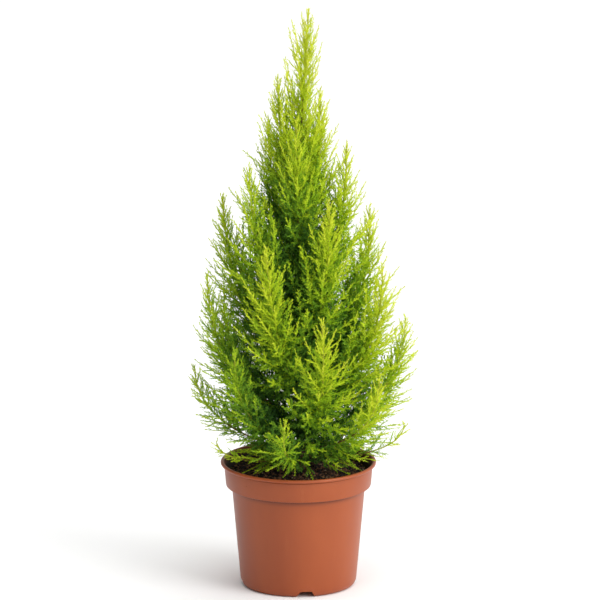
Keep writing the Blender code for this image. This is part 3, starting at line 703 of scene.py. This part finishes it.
crumb_finishes = [peat_crumb, peat_dark, peat_dark, peat_light]
scatter("peat_crumbs", crumb_shape(), CRUMBS, (0.35 * MM, 1.9 * MM), 0.75, 0.2 * MM, crumb_finishes, 11)
scatter("pale_grains", crumb_shape(), PALE_GRAINS, (0.4 * MM, 1.1 * MM), 0.8, 0.5 * MM, [pale_grain], 12)
scatter("peat_fibres", fibre_shape(), FIBRES, (3.0 * MM, 9.0 * MM), 0.35, 0.6 * MM, [fibre], 13)
print("crumbs", CRUMBS, "pale grains", PALE_GRAINS, "fibres", FIBRES)

# %% [markdown]
# ## Trunk and boughs
#
# The trunk is thin, stands with a small root flare and leans slightly to the right as it climbs. The
# boughs leave it by the golden angle, out at first and then up. Their lines are worked out again here by
# the rule of the source, so they run where the solids are. A ring of corners is extruded along each line
# and pushed in and out by noise, which gives the bark real relief. A curve with a bevel would be quicker,
# but it has no fissures.

# %% The rule for the limbs
GOLDEN_ANGLE = math.radians(137.508)
TRUNK_TIP_HEIGHT = 400.0 * MM
TRUNK_FOOT_X = 1.3 * MM
TRUNK_LEAN = 2.6 * MM
TRUNK_SWAY = 1.6 * MM
TRUNK_RADIUS = 2.3 * MM
TRUNK_TIP_RADIUS = 0.6 * MM
ROOT_FLARE = 1.9 * MM
ROOT_FLARE_HEIGHT = 5.0 * MM
TRUNK_SINK = 1.2 * MM
CROWN_FOOT_HEIGHT = 100.0 * MM
CROWN_TOP_HEIGHT = 495.0 * MM
CROWN_RADIUS = 93.0 * MM
CROWN_BELLY = 0.2
CROWN_UNDERCUT = 0.4
CROWN_TAPER = 1.45
CROWN_SWAY_HEIGHTS = np.array([100.0, 240.0, 335.0, 400.0, 440.0, 495.0]) * MM
CROWN_SWAY = np.array([5.0, 5.0, -3.3, -0.8, 2.0, 8.6]) * MM
PLUMES = 28
FIRST_AZIMUTH = math.radians(70.0)
STEM_SEED = 5000
LOWEST_TIP = 116.0 * MM
HIGHEST_TIP = 444.0 * MM
LOWEST_FORK = 5.0 * MM
HIGHEST_FORK = 352.0 * MM
FORK_CROWDING = 3
FORK_SPREAD = 0.15
TIP_CROWDING = 160.0 * MM
STEM_SWAY = 7.0 * MM
REACH_SPREAD = 0.06
BARE_SHARE = 0.18
BOUGH_RADIUS = 1.15 * MM
STEM_RADIUS = 0.8 * MM
STEM_TIP_RADIUS = 0.35 * MM
LEADER_TIP = Vector((8.6 * MM, -1.0 * MM, 494.5 * MM))


def crown_share(height):
    """How high up the crown a point lies, from 0 at its foot to 1 at its top."""
    return np.clip((height - CROWN_FOOT_HEIGHT) / (CROWN_TOP_HEIGHT - CROWN_FOOT_HEIGHT), 0.0, 1.0)


def crown_radius(height):
    """Radius of the crown's outline at a height."""
    share = crown_share(height)
    belly = CROWN_RADIUS * (1 - CROWN_UNDERCUT * (1 - np.minimum(share / CROWN_BELLY, 1.0)) ** 3)
    upper = np.maximum(share - CROWN_BELLY, 0.0) / (1 - CROWN_BELLY)
    return belly * (1 - upper**2) ** CROWN_TAPER


def crown_middle(height):
    """The x of the middle of the crown's outline, which sways more than the trunk does."""
    return np.interp(height, CROWN_SWAY_HEIGHTS, CROWN_SWAY)


def trunk_share(height):
    """How high up the trunk a point lies, from 0 at its foot to 1 at its tip."""
    return (height - COMPOST_CROWN_HEIGHT) / (TRUNK_TIP_HEIGHT - COMPOST_CROWN_HEIGHT)


def trunk_point(height):
    """The middle of the trunk at a height: it leans to the right and sways a little."""
    share = trunk_share(height)
    sway = TRUNK_SWAY * math.sin(1.7 * math.pi * share) * share
    return Vector((TRUNK_FOOT_X + TRUNK_LEAN * share**1.4 + sway, 0.6 * sway, height))


def trunk_radius(height):
    """The trunk's radius at a height, with the root flare at its foot."""
    share = min(max(trunk_share(height), 0.0), 1.0)
    flare = ROOT_FLARE * math.exp(-(height - COMPOST_CROWN_HEIGHT) / ROOT_FLARE_HEIGHT)
    return TRUNK_TIP_RADIUS + (TRUNK_RADIUS - TRUNK_TIP_RADIUS) * (1 - share) ** 1.2 + flare


def tip_heights():
    """The heights of the plumes' tips, closer together where the crown is wide."""
    heights = np.linspace(LOWEST_TIP, HIGHEST_TIP, 200)
    area = np.cumsum(crown_radius(heights) + TIP_CROWDING)
    shares = (np.arange(PLUMES) + 0.5) / PLUMES
    return np.interp(shares, (area - area[0]) / (area[-1] - area[0]), heights)


def stem_line(number, tip_height):
    """One stem as a function of the share along it: from the trunk's middle out, then up to its tip."""
    rng = random.Random(STEM_SEED + number)
    up = (tip_height - LOWEST_TIP) / (HIGHEST_TIP - LOWEST_TIP)
    lowest = COMPOST_CROWN_HEIGHT + LOWEST_FORK
    fork = blend(lowest, HIGHEST_FORK, blend(up**FORK_CROWDING, up, FORK_SPREAD))
    azimuth = FIRST_AZIMUTH + number * GOLDEN_ANGLE
    radial = Vector((math.cos(azimuth), math.sin(azimuth), 0.0))
    across = Vector((-radial.y, radial.x, 0.0))
    reach = float(crown_radius(tip_height)) * (1 - REACH_SPREAD * rng.random())
    sway = STEM_SWAY * rng.uniform(-1.0, 1.0) * reach / CROWN_RADIUS
    start = trunk_point(fork)
    tip = radial * reach + Vector((float(crown_middle(tip_height)), 0.0, fork))

    def at(share):
        out = (tip - start) * (2.0 * share - share**2)
        rise = (tip_height - fork) * (0.5 * share + 0.5 * share**2)
        side = sway * math.sin(math.pi * share)
        return start + out + across * side + Vector((0.0, 0.0, rise))

    return at


def leader_line(share):
    """The top shoot, which goes on from the trunk's tip."""
    return trunk_point(TRUNK_TIP_HEIGHT).lerp(LEADER_TIP, share)


stems = [stem_line(number, tip) for number, tip in enumerate(tip_heights())]
print("stems", len(stems), "highest tip", round(stems[-1](1.0).z, 3))

# %% [markdown]
# ### Bark
#
# The bark of a young cypress is thin and red-brown, with fine long fissures, greyer at the foot where it
# is oldest. The fissures run along the trunk, so the noise is stretched upwards.

# %% Bark finish
FISSURE = colour(62, 43, 30)
RIDGE = colour(124, 90, 62)
OLD_BARK = colour(96, 84, 72)
OLD_BARK_HEIGHT = 60.0 * MM
FISSURE_SCALE = 1500.0
PATCH_SCALE = 180.0

bark = Finish("bark", Roughness=0.85, Specular_IOR_Level=0.3)
fissures = bark.grain(bark.place((1.0, 1.0, 0.16)), FISSURE_SCALE, 5.0, 0.65)
patches = bark.grain(bark.place((1.0, 1.0, 0.4)), PATCH_SCALE)
bark_tone = bark.mix(bark.step(fissures, 0.36, 0.66), FISSURE, RIDGE)
old = bark.step(bark.height(), COMPOST_CROWN_HEIGHT + OLD_BARK_HEIGHT, COMPOST_CROWN_HEIGHT)
bark_tone = bark.mix(old * bark.step(patches, 0.3, 0.7), bark_tone, OLD_BARK)
bark.feed("Base Color", bark_tone)
bark.bump(fissures, 0.35 * MM, 0.9)
print("nodes in the bark:", len(bark.tree.nodes))

# %% Limbs
TRUNK_RINGS = 170
TRUNK_SIDES = 18
BOUGH_RINGS = 22
BOUGH_SIDES = 10
RIDGE_RELIEF = 0.10
RIDGE_SCALE = 900.0
SWELLING_RELIEF = 0.06
SWELLING_SCALE = 300.0
UPWARD_STRETCH = 0.25
ROOTS = 5
ROOT_RELIEF = 0.28


def limb(shape, points, radii, sides, relief):
    """A tapering limb in the bmesh: a ring that is extruded along the points, with bark relief."""
    along = [(b - a).normalized() for a, b in zip(points, points[1:])]
    along.append(along[-1])
    ring = bmesh.ops.create_circle(shape, cap_ends=True, radius=1.0, segments=sides)["verts"]
    turn = along[0].to_track_quat("Z", "X")
    unit_ring = [corner.co.copy() for corner in ring]
    edges = [edge for edge in shape.edges if all(corner in ring for corner in edge.verts)]
    for k, (point, radius, way) in enumerate(zip(points, radii, along)):
        if k:
            turn = (turn @ Vector((0.0, 0.0, 1.0))).rotation_difference(way) @ turn
            new = bmesh.ops.extrude_edge_only(shape, edges=edges)["geom"]
            ring = ring_after(ring, new)
            edges = [edge for edge in new if isinstance(edge, bmesh.types.BMEdge)]
            edges = [edge for edge in edges if all(corner in ring for corner in edge.verts)]
        for corner, flat in zip(ring, unit_ring):
            out = turn @ flat
            corner.co = point + out * radius * (1.0 + relief(point, out))
    bmesh.ops.contextual_create(shape, geom=edges)


def ring_after(ring, extruded):
    """The corners of an extruded ring, in the order of the ring that they came from."""
    new = {item for item in extruded if isinstance(item, bmesh.types.BMVert)}
    after = []
    for corner in ring:
        ends = [edge.other_vert(corner) for edge in corner.link_edges]
        after.append(next(end for end in ends if end in new))
    return after


def bark_relief(point, out):
    """Share by which bark stands out at one place: long ridges, and a few wider swellings."""
    place = Vector((point.x + out.x * 3 * MM, point.y + out.y * 3 * MM, point.z * UPWARD_STRETCH))
    ridges = RIDGE_RELIEF * noise.noise(place * RIDGE_SCALE)
    return ridges + SWELLING_RELIEF * noise.noise(place * SWELLING_SCALE)


def root_ridges(point, out):
    """The bark's relief, with roots that spread at the trunk's foot."""
    low = math.exp(-(point.z - COMPOST_CROWN_HEIGHT) / ROOT_FLARE_HEIGHT)
    return bark_relief(point, out) + ROOT_RELIEF * low * math.sin(ROOTS * math.atan2(out.y, out.x) + 0.8)


# %% Trunk and bough pieces
parts = [(k / TRUNK_RINGS) ** 1.25 for k in range(TRUNK_RINGS + 1)]
heights = [COMPOST_CROWN_HEIGHT] + [blend(COMPOST_CROWN_HEIGHT, TRUNK_TIP_HEIGHT, part) for part in parts]
points = [trunk_point(height) for height in heights]
points[0].z = COMPOST_CROWN_HEIGHT - TRUNK_SINK
trunk_shape = bmesh.new()
limb(trunk_shape, points, [trunk_radius(height) for height in heights], TRUNK_SIDES, root_ridges)
bmesh.ops.recalc_face_normals(trunk_shape, faces=trunk_shape.faces)
trunk = finished("trunk_bark", trunk_shape, [bark])
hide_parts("trunk")

bough_names = sorted(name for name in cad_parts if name.startswith("bough_"))
bough_shape = bmesh.new()
parts = [k / BOUGH_RINGS for k in range(BOUGH_RINGS + 1)]
for line in stems:
    points = [line(BARE_SHARE * part) for part in parts]
    radii = [blend(BOUGH_RADIUS, STEM_RADIUS, part) for part in parts]
    limb(bough_shape, points, radii, BOUGH_SIDES, bark_relief)
bmesh.ops.recalc_face_normals(bough_shape, faces=bough_shape.faces)
boughs = finished("bough_bark", bough_shape, [bark])
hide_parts(*bough_names)
print("bark faces", len(trunk.data.polygons), len(boughs.data.polygons))

# %% [markdown]
# ## How the foliage grows
#
# A plume of this cypress is a feather made of feathers. Long side stems leave the plume's stem and turn
# up to the light, straight twigs leave both, short shoots leave the twigs, and small pointed leaves cover
# them all. Each axis sends out its side growth by the golden angle, and the nearer to its tip, the
# shorter. That gives every axis the slim spire of the real plant. So one rule can grow all of it: a
# generation is a set of arrays, one row to an axis, and the next generation is read off along it. An axis
# has its start, the way it leaves, the way it bends to and how much (its lift), its length, the rest of
# its carrier that is still to come past its tip, the number of its plume, and the number of its tone.

# %% Generations
Axes = namedtuple("Axes", "start leave bend length lift rest plume tone")
UP = np.array([0.0, 0.0, 1.0])


def chosen(axes, which):
    """Some of the axes, by number or by a true or false for each."""
    return Axes(*(field[which] for field in axes))


def together(*sets):
    """Several sets of axes as one."""
    return Axes(*(np.concatenate(fields) for fields in zip(*sets)))


def position(axes, share):
    """The place at a share of each axis's length."""
    reach = (axes.length * share)[:, None]
    return axes.start + axes.leave * reach + axes.bend * reach * (axes.lift * share)[:, None]


def heading(axes, share):
    """The way that each axis runs at a share of its length."""
    return unit(axes.leave + axes.bend * (2 * axes.lift * share)[:, None])


def turned(along, roll):
    """Unit vectors square to each direction, turned round it by roll from the side that looks up."""
    side = np.cross(along, UP)
    side = np.where(np.linalg.norm(side, axis=1)[:, None] > 1e-6, side, [1.0, 0.0, 0.0])
    top = unit(np.cross(unit(side), along))
    return top * np.cos(roll)[:, None] + np.cross(along, top) * np.sin(roll)[:, None]


def spaced(axes, spacing, low=0.0):
    """Even places on the axes, from a share of each on: the axis's number, the share, the way to its tip."""
    counts = np.maximum((axes.length * (1.0 - low) / spacing).round(), 1).astype(int)
    pick = np.repeat(np.arange(len(counts)), counts)
    order = np.arange(len(pick)) - np.repeat(np.cumsum(counts) - counts, counts)
    share = low + (1.0 - low) * (order + 0.5) / counts[pick]
    return pick, share, axes.rest[pick] + axes.length[pick] * (1.0 - share)


def grown(axes, pick, share, angle, length, lift, rise=0.0):
    """The next generation: it leaves by the golden angle, and bends back to its parent's way and upwards."""
    some = chosen(axes, pick)
    along = heading(some, share)
    out = turned(along, np.arange(len(pick)) * GOLDEN_ANGLE)
    leave = along * np.cos(angle)[:, None] + out * np.sin(angle)[:, None]
    bend = unit(along + UP * np.broadcast_to(rise, len(pick))[:, None])
    lifts = np.full(len(pick), lift)
    rest = np.zeros(len(pick))
    return Axes(position(some, share), leave, bend, length, lifts, rest, some.plume, some.tone)


# %% [markdown]
# ### Keeping the crown's outline
#
# Side stems at the edge of the crown would stick out past the outline of the solids, and low ones would
# dive into the compost or the rim. One that would do either is shortened in steps, and one that still
# doesn't fit is left out.

# %% Fitting to the crown
SHORTENING = (1.0, 0.85, 0.7, 0.55, 0.4)
MIDDLE_SHARE = 0.6
SLIMMEST_CROWN = 14.0 * MM
OUTLINE_ALLOWANCE = 3.5 * MM
RIM_ZONE = 9.0 * MM
RIM_CLEARANCE = 7.0 * MM
COMPOST_GAP = 1.2 * MM


def outwardness(points):
    """How far out in the crown each point lies, from 0 at the crown's middle to 1 at the outline."""
    out = np.hypot(points[:, 0] - crown_middle(points[:, 2]), points[:, 1])
    return out / (np.maximum(crown_radius(points[:, 2]), SLIMMEST_CROWN) + OUTLINE_ALLOWANCE)


def fits(points):
    """Which points lie inside the crown's outline and above the compost and the rim."""
    heights = points[:, 2]
    over_rim = np.hypot(points[:, 0], points[:, 1]) > RIM_RADIUS - RIM_ZONE
    floor_height = np.where(over_rim, RIM_HEIGHT + RIM_CLEARANCE, COMPOST_CROWN_HEIGHT + COMPOST_GAP)
    return (outwardness(points) < 1.0) & (heights > floor_height) & (heights < CROWN_TOP_HEIGHT)


def fitted(axes):
    """The axes, shortened until their tips and middles fit, without those that never do."""
    length = np.zeros(len(axes.length))
    for size in SHORTENING:
        tried = axes._replace(length=axes.length * size)
        whole = fits(position(tried, 1.0)) & fits(position(tried, MIDDLE_SHARE))
        length = np.where((length == 0.0) & whole, tried.length, length)
    return chosen(axes._replace(length=length), length > 0.0)


# %% Stems and side stems
STEM_PIECES = 18
SIDE_SPACING = 4.1 * MM
SIDE_ANGLE = math.radians(38.0)
TOP_SIDE_ANGLE = math.radians(24.0)
SIDE_SHARE = 0.5
TOP_SIDE_SHARE = 0.4
LEADER_SIDE_SHARE = 0.56
LONGEST_SIDE = 58.0 * MM
SHORTEST_SIDE = 3.0 * MM
SIDE_LIFT = 0.34
SIDE_RISE = 0.7
DROOP = 1.3
DROOP_HEIGHT = 60.0 * MM
LOW_THINNING = 0.65
FULL_THINNING_RADIUS = 45.0 * MM
LEAFY_SHARE = 0.03
LOWEST_SPRIG = 110.0 * MM
LEADER = PLUMES
GROWTH_SEED = 2


def stem_axes(number, line, low=0.0):
    """A stem from a share on, as short straight axes that know how much of the stem is still to come."""
    points = np.array([line(share) for share in np.linspace(low, 1.0, STEM_PIECES + 1)])
    steps = np.diff(points, axis=0)
    length = np.linalg.norm(steps, axis=1)
    ways = steps / length[:, None]
    rest = np.cumsum(length[::-1])[::-1] - length
    none = np.zeros(STEM_PIECES)
    return Axes(points[:-1], ways, ways, length, none, rest, np.full(STEM_PIECES, number), none)


def trunk_line(share):
    """The trunk as a carrier of short inner side stems."""
    return trunk_point(blend(LOWEST_SPRIG, TRUNK_TIP_HEIGHT, share))


def lowness(heights):
    """How near to the crown's foot each height is: 1 at the foot, 0 where the growth is full."""
    return np.clip(1.0 - (heights - CROWN_FOOT_HEIGHT) / DROOP_HEIGHT, 0.0, 1.0)


def sparseness(points):
    """How much of the growth at each place is left out: most low down near the rim, none near the trunk."""
    spread = np.clip(np.hypot(points[:, 0], points[:, 1]) / FULL_THINNING_RADIUS, 0.0, 1.0)
    return LOW_THINNING * lowness(points[:, 2]) * spread


rng = np.random.default_rng(GROWTH_SEED)
stem_sets = [stem_axes(number, line, LEAFY_SHARE) for number, line in enumerate(stems)]
plume_axes = together(*stem_sets, stem_axes(LEADER, leader_line))
trunk_axes = stem_axes(LEADER, trunk_line)
trunk_axes = trunk_axes._replace(rest=trunk_axes.rest + CROWN_TOP_HEIGHT - TRUNK_TIP_HEIGHT)
limb_axes = together(plume_axes, trunk_axes)
pick, share, left = spaced(limb_axes, SIDE_SPACING)
heights = position(chosen(limb_axes, pick), share)[:, 2]
up = crown_share(heights)
plume_share = blend(SIDE_SHARE, TOP_SIDE_SHARE, up)
side_share = np.where(limb_axes.plume[pick] == LEADER, LEADER_SIDE_SHARE, plume_share)
length = np.minimum(side_share * left, LONGEST_SIDE) * rng.uniform(0.7, 1.15, len(pick)) + SHORTEST_SIDE
angle = blend(SIDE_ANGLE, TOP_SIDE_ANGLE, up) * rng.uniform(0.8, 1.15, len(pick))
rise = SIDE_RISE - DROOP * lowness(heights)
side_stems = grown(limb_axes, pick, share, angle, length, SIDE_LIFT, rise)
side_stems = fitted(chosen(side_stems, rng.random(len(pick)) > sparseness(side_stems.start)))
print("side stems", len(side_stems.length), "mean", round(float(side_stems.length.mean()) / MM, 1), "mm")

# %% Twigs and shoots
TWIG_SPACING = 2.7 * MM
TWIG_ANGLE = math.radians(40.0)
TOP_TWIG_ANGLE = math.radians(26.0)
TWIG_SHARE = 0.4
LONGEST_TWIG = 17.0 * MM
SHORTEST_TWIG = 1.2 * MM
TWIG_CLOSING = 14.0 * MM
TWIG_LIFT = 0.15
TWIG_RISE = 0.15
SHOOT_SPACING = 1.9 * MM
SHOOT_ANGLE = math.radians(36.0)
SHOOT_SHARE = 0.42
LONGEST_SHOOT = 6.0 * MM
SHORTEST_SHOOT = 0.8 * MM
SHOOT_CLOSING = 6.0 * MM
SHOOT_LIFT = 0.15
BARE_TWIG_SHARE = 0.15
CLOSED = 0.6


def closing(left, reach):
    """Factor that closes the angles towards a tip: smallest at the tip, and 1 from reach on."""
    return CLOSED + (1.0 - CLOSED) * np.minimum(left / reach, 1.0)


carriers = together(plume_axes, side_stems)
pick, share, left = spaced(carriers, TWIG_SPACING)
length = np.minimum(TWIG_SHARE * left, LONGEST_TWIG) + SHORTEST_TWIG
length *= rng.uniform(0.75, 1.15, len(pick))
up = crown_share(carriers.start[pick, 2])
angle = blend(TWIG_ANGLE, TOP_TWIG_ANGLE, up) * rng.uniform(0.85, 1.15, len(pick))
angle *= closing(left, TWIG_CLOSING)
twigs = grown(carriers, pick, share, angle, length, TWIG_LIFT, TWIG_RISE)
kept = (rng.random(len(pick)) > sparseness(twigs.start)) & fits(position(twigs, 1.0))
twigs = chosen(twigs, kept)
twig_left = left[kept]

shoot_twig, share, left = spaced(twigs, SHOOT_SPACING, BARE_TWIG_SHARE)
length = np.minimum(SHOOT_SHARE * left, LONGEST_SHOOT) + SHORTEST_SHOOT
length *= rng.uniform(0.8, 1.2, len(shoot_twig))
angle = SHOOT_ANGLE * rng.uniform(0.85, 1.15, len(shoot_twig)) * closing(left, SHOOT_CLOSING)
shoots = grown(twigs, shoot_twig, share, angle, length, SHOOT_LIFT)
print("twigs", len(twigs.length), "mean", round(float(twigs.length.mean()) / MM, 1), "mm")
print("shoots", len(shoots.length))

# %% [markdown]
# ### Colour of the foliage
#
# The youngest tips are lime yellow, and the foliage gets greener and darker towards the inside of the
# crown, where it is older; the darkening there is also painted shade. A spray has one tone. So eight tones
# are dealt out by twig, from the brightest, number 0: a twig deep in the crown, low down or on the left gets
# a later one, and a young tip, a high place or the right side an earlier one, with a little chance. Low down
# that is painted shade, across the sides painted light from the right, and high up younger growth with
# painted light from above. Its shoots and leaves take it over.

# %% Tones
TONES = [
    colour(218, 224, 72),
    colour(204, 218, 54),
    colour(190, 212, 46),
    colour(160, 194, 46),
    colour(126, 168, 50),
    colour(96, 140, 50),
    colour(70, 110, 46),
    colour(50, 82, 40),
]
tones = [
    Finish(f"foliage tone {k + 1}", Base_Color=tone, Roughness=0.6, Specular_IOR_Level=0.12)
    for k, tone in enumerate(TONES)
]
FRESH_LENGTH = 16.0 * MM
FRESH_STEM_LENGTH = 4 * FRESH_LENGTH
DEEP_INSIDE = 55.0 * MM
FIRST_TONE = 2.6
DEEP_TONES = 3.6
FRESH_TONES = 1.4
# The next three shift the tone as painted light from above, painted light from the right and painted shade
# low down; the first also for younger growth at the top.
HIGH_YOUNG_LIT_TONES = 1.5
RIGHT_SIDE_LIGHT_TONES = 0.7
LOW_SHADE_TONES = 0.3
CHANCE_TONES = 0.4
STEM_TONES = -0.8
PLUME_TONE_SEED = 5


def depth(axes):
    """How deep in the crown each axis ends, from 0 at the outline to 1 well inside it."""
    ends = position(axes, 1.0)
    inside = (1.0 - outwardness(ends)) * np.maximum(crown_radius(ends[:, 2]), SLIMMEST_CROWN)
    return np.clip(inside / DEEP_INSIDE, 0.0, 1.0)


def tone_numbers(axes, fresh):
    """The tone of each axis as a number with a fraction: fresh is 1 at a young tip and 0 far from it."""
    by_plume = np.random.default_rng(PLUME_TONE_SEED).normal(0.0, CHANCE_TONES, len(stems) + 1)
    # Painted light and shade in the tone: depth and lowness darken as painted shade, height and the right
    # side brighten as painted light; depth also stands for older leaves, height for younger growth.
    up = crown_share(axes.start[:, 2])
    right_side_light = axes.start[:, 0] / CROWN_RADIUS
    shade = LOW_SHADE_TONES * lowness(axes.start[:, 2])
    chance = by_plume[axes.plume] + rng.normal(0.0, CHANCE_TONES, len(axes.length))
    number = FIRST_TONE + DEEP_TONES * depth(axes) ** 1.2 - FRESH_TONES * fresh
    return number - HIGH_YOUNG_LIT_TONES * up - RIGHT_SIDE_LIGHT_TONES * right_side_light + shade + chance


twigs = twigs._replace(tone=tone_numbers(twigs, np.exp(-twig_left / FRESH_LENGTH)))
shoots = shoots._replace(tone=twigs.tone[shoot_twig])
fresh = np.exp(-(carriers.rest + carriers.length) / FRESH_STEM_LENGTH)
carriers = carriers._replace(tone=tone_numbers(carriers, fresh) + STEM_TONES)
print("mean tone of the twigs:", round(float(twigs.tone.mean()), 2), "of", len(tones))

# %% [markdown]
# ### Leaves
#
# The leaves are small awls that stand off the shoot at about 30 degrees and point to its tip. At this
# distance they make the fine rough edge of every spray. A leaf is a pointed blade of two faces, folded
# along its keel. Deep in the crown, where the needles are older and longer and only their darkness shows,
# they are larger and fewer.

# %% Leaves
LEAF_SPACING = 0.6 * MM
LEAF_LENGTH = 1.75 * MM
LEAF_SLIMNESS = 0.21
LEAF_ANGLE = math.radians(29.0)
LEAF_CHANCE_TONES = 0.35
SHORT_LEAVES_REACH = 4.0 * MM
CLOSED_LEAVES_REACH = 3.0 * MM
BARE_REST = 110.0 * MM
DEEP_FROM = 0.3
DEEP_TO = 0.55
DEEP_LENGTHENING = 0.9
DEEP_THINNING = 1.3


def leaves_on(axes, size):
    """Leaves along the axes, closing towards each tip, and larger and fewer deep in the crown."""
    deep = np.clip((depth(axes) - DEEP_FROM) / (DEEP_TO - DEEP_FROM), 0.0, 1.0)
    pick, share, left = spaced(axes, LEAF_SPACING * (1.0 + DEEP_THINNING * deep))
    length = LEAF_LENGTH * size * rng.uniform(0.75, 1.2, len(pick)) * closing(left, SHORT_LEAVES_REACH)
    length *= 1.0 + DEEP_LENGTHENING * deep[pick]
    angle = LEAF_ANGLE * rng.uniform(0.8, 1.2, len(pick)) * closing(left, CLOSED_LEAVES_REACH)
    made = grown(axes, pick, share, angle, length, 0.0)
    return made._replace(tone=made.tone + rng.normal(0.0, LEAF_CHANCE_TONES, len(pick)))


leafy = chosen(carriers, carriers.rest < BARE_REST)
leaves = together(*(leaves_on(axes, size) for axes, size in ((leafy, 1.15), (twigs, 1.0), (shoots, 0.9))))
print("leaves", len(leaves.length))


# %% Shapes to stamp
def leaf_blade():
    """A folded pointed leaf one unit long along +X, with its shoulders one unit out on each side."""
    shape = bmesh.new()
    bmesh.ops.create_circle(shape, cap_ends=True, segments=4, radius=0.5)
    keel = [corner for corner in shape.verts if abs(corner.co.y) < 0.25]
    for corner in shape.verts:
        if corner in keel:
            corner.co.x += 0.5
        else:
            corner.co = (0.35, 2.0 * corner.co.y, -0.6)
    bmesh.ops.connect_vert_pair(shape, verts=keel)
    return shape_arrays(shape)


def spike():
    """An open three-sided spike one unit long along +X."""
    shape = straw(0.5, 1.0, 0.0)
    bmesh.ops.remove_doubles(shape, verts=shape.verts, dist=0.001)
    return shape_arrays(shape)


BLADE = leaf_blade()
SPIKE = spike()
SHORT_TWIG = shape_arrays(straw(0.5, 1.0, 0.3))
LONG_TWIG = shape_arrays(jointed(straw(0.5, 1.0, 0.3), 5))
counts = [len(shape.faces) for shape in (BLADE, SPIKE, SHORT_TWIG, LONG_TWIG)]
print("triangles in a leaf, a shoot, a twig and a side stem:", counts)


# %% Stamp the foliage
TRIANGLES_A_PIECE = 185_000
TWIG_RADIUS = 0.44 * MM
SHOOT_RADIUS = 0.31 * MM
SIDE_SLIMNESS = 0.014
SIDE_RADII = (0.35 * MM, 0.7 * MM)
SIDE_TONES = 0.5


def stamped(axes, shape, radius):
    """Corners of every copy of a shape, bent along its axis, with one radius or one for each axis."""
    share = shape.points[:, 0]
    side = turned(axes.leave, rng.uniform(0.0, math.tau, len(axes.length)))
    top = np.cross(axes.leave, side)
    reach = axes.length[:, None, None] * share[None, :, None]
    bend = reach * share[None, :, None] * axes.lift[:, None, None]
    points = axes.start[:, None] + axes.leave[:, None] * reach + axes.bend[:, None] * bend
    width = np.broadcast_to(radius, axes.length.shape)[:, None, None]
    points += side[:, None] * shape.points[None, :, 1, None] * width
    points += top[:, None] * shape.points[None, :, 2, None] * width
    return points


def foliage_piece(name, axes, shape, radius):
    """One kind of growth, joined in one piece."""
    numbers = np.clip(axes.tone.round(), 0, len(TONES) - 1).astype(int)
    made = joined(name, stamped(axes, shape, radius), shape.faces, numbers, tones)
    print(name, len(made.data.polygons))
    return made


def plume_groups(axes, triangles):
    """Plumes in groups whose copies stay under the limit for one piece."""
    counts = np.bincount(axes.plume, minlength=LEADER + 1) * triangles
    groups, total = [[]], 0
    for number, count in enumerate(counts):
        if total + count > TRIANGLES_A_PIECE:
            groups.append([])
            total = 0
        groups[-1].append(number)
        total += count
    return groups


for number, plumes in enumerate(plume_groups(leaves, len(BLADE.faces)), 1):
    some = chosen(leaves, np.isin(leaves.plume, plumes))
    leaf_piece = foliage_piece(f"leaves_{number}", some, BLADE, LEAF_SLIMNESS * some.length)
    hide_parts(*(f"plume_{k + 1:02d}" if k < PLUMES else "leader" for k in plumes))
foliage_piece("shoots", shoots, SPIKE, SHOOT_RADIUS)
foliage_piece("twigs", twigs, SHORT_TWIG, TWIG_RADIUS)
side_stems = side_stems._replace(tone=tone_numbers(side_stems, 0.0) + SIDE_TONES)
side_radius = np.clip(side_stems.length * SIDE_SLIMNESS, *SIDE_RADII)
foliage_piece("side_stems", side_stems, LONG_TWIG, side_radius)

# %% Stems inside the plumes
STEM_RINGS = 14
STEM_SIDES = 6
GREEN_SHARE = 0.45
LAST_SHARE = 0.97

young_bark = Finish("young bark", Base_Color=colour(118, 88, 44), Roughness=0.75)
green_bark = Finish("green bark", Base_Color=colour(168, 172, 52), Roughness=0.65)


def stem_piece(name, lines, low, high, finish):
    """One stretch of every stem, from a share of its line to another, joined."""
    shape = bmesh.new()
    for line in lines:
        shares = [blend(low, high, k / STEM_RINGS) for k in range(STEM_RINGS + 1)]
        radii = [blend(STEM_RADIUS, STEM_TIP_RADIUS, share) for share in shares]
        limb(shape, [line(share) for share in shares], radii, STEM_SIDES, bark_relief)
    bmesh.ops.recalc_face_normals(shape, faces=shape.faces)
    made = finished(name, shape, [finish])
    print(name, len(made.data.polygons))


stem_piece("woody_stems", stems, BARE_SHARE, GREEN_SHARE, young_bark)
stem_piece("green_stems", stems + [leader_line], GREEN_SHARE, LAST_SHARE, green_bark)
stem_piece("leader_stem", [leader_line], 0.0, GREEN_SHARE, young_bark)
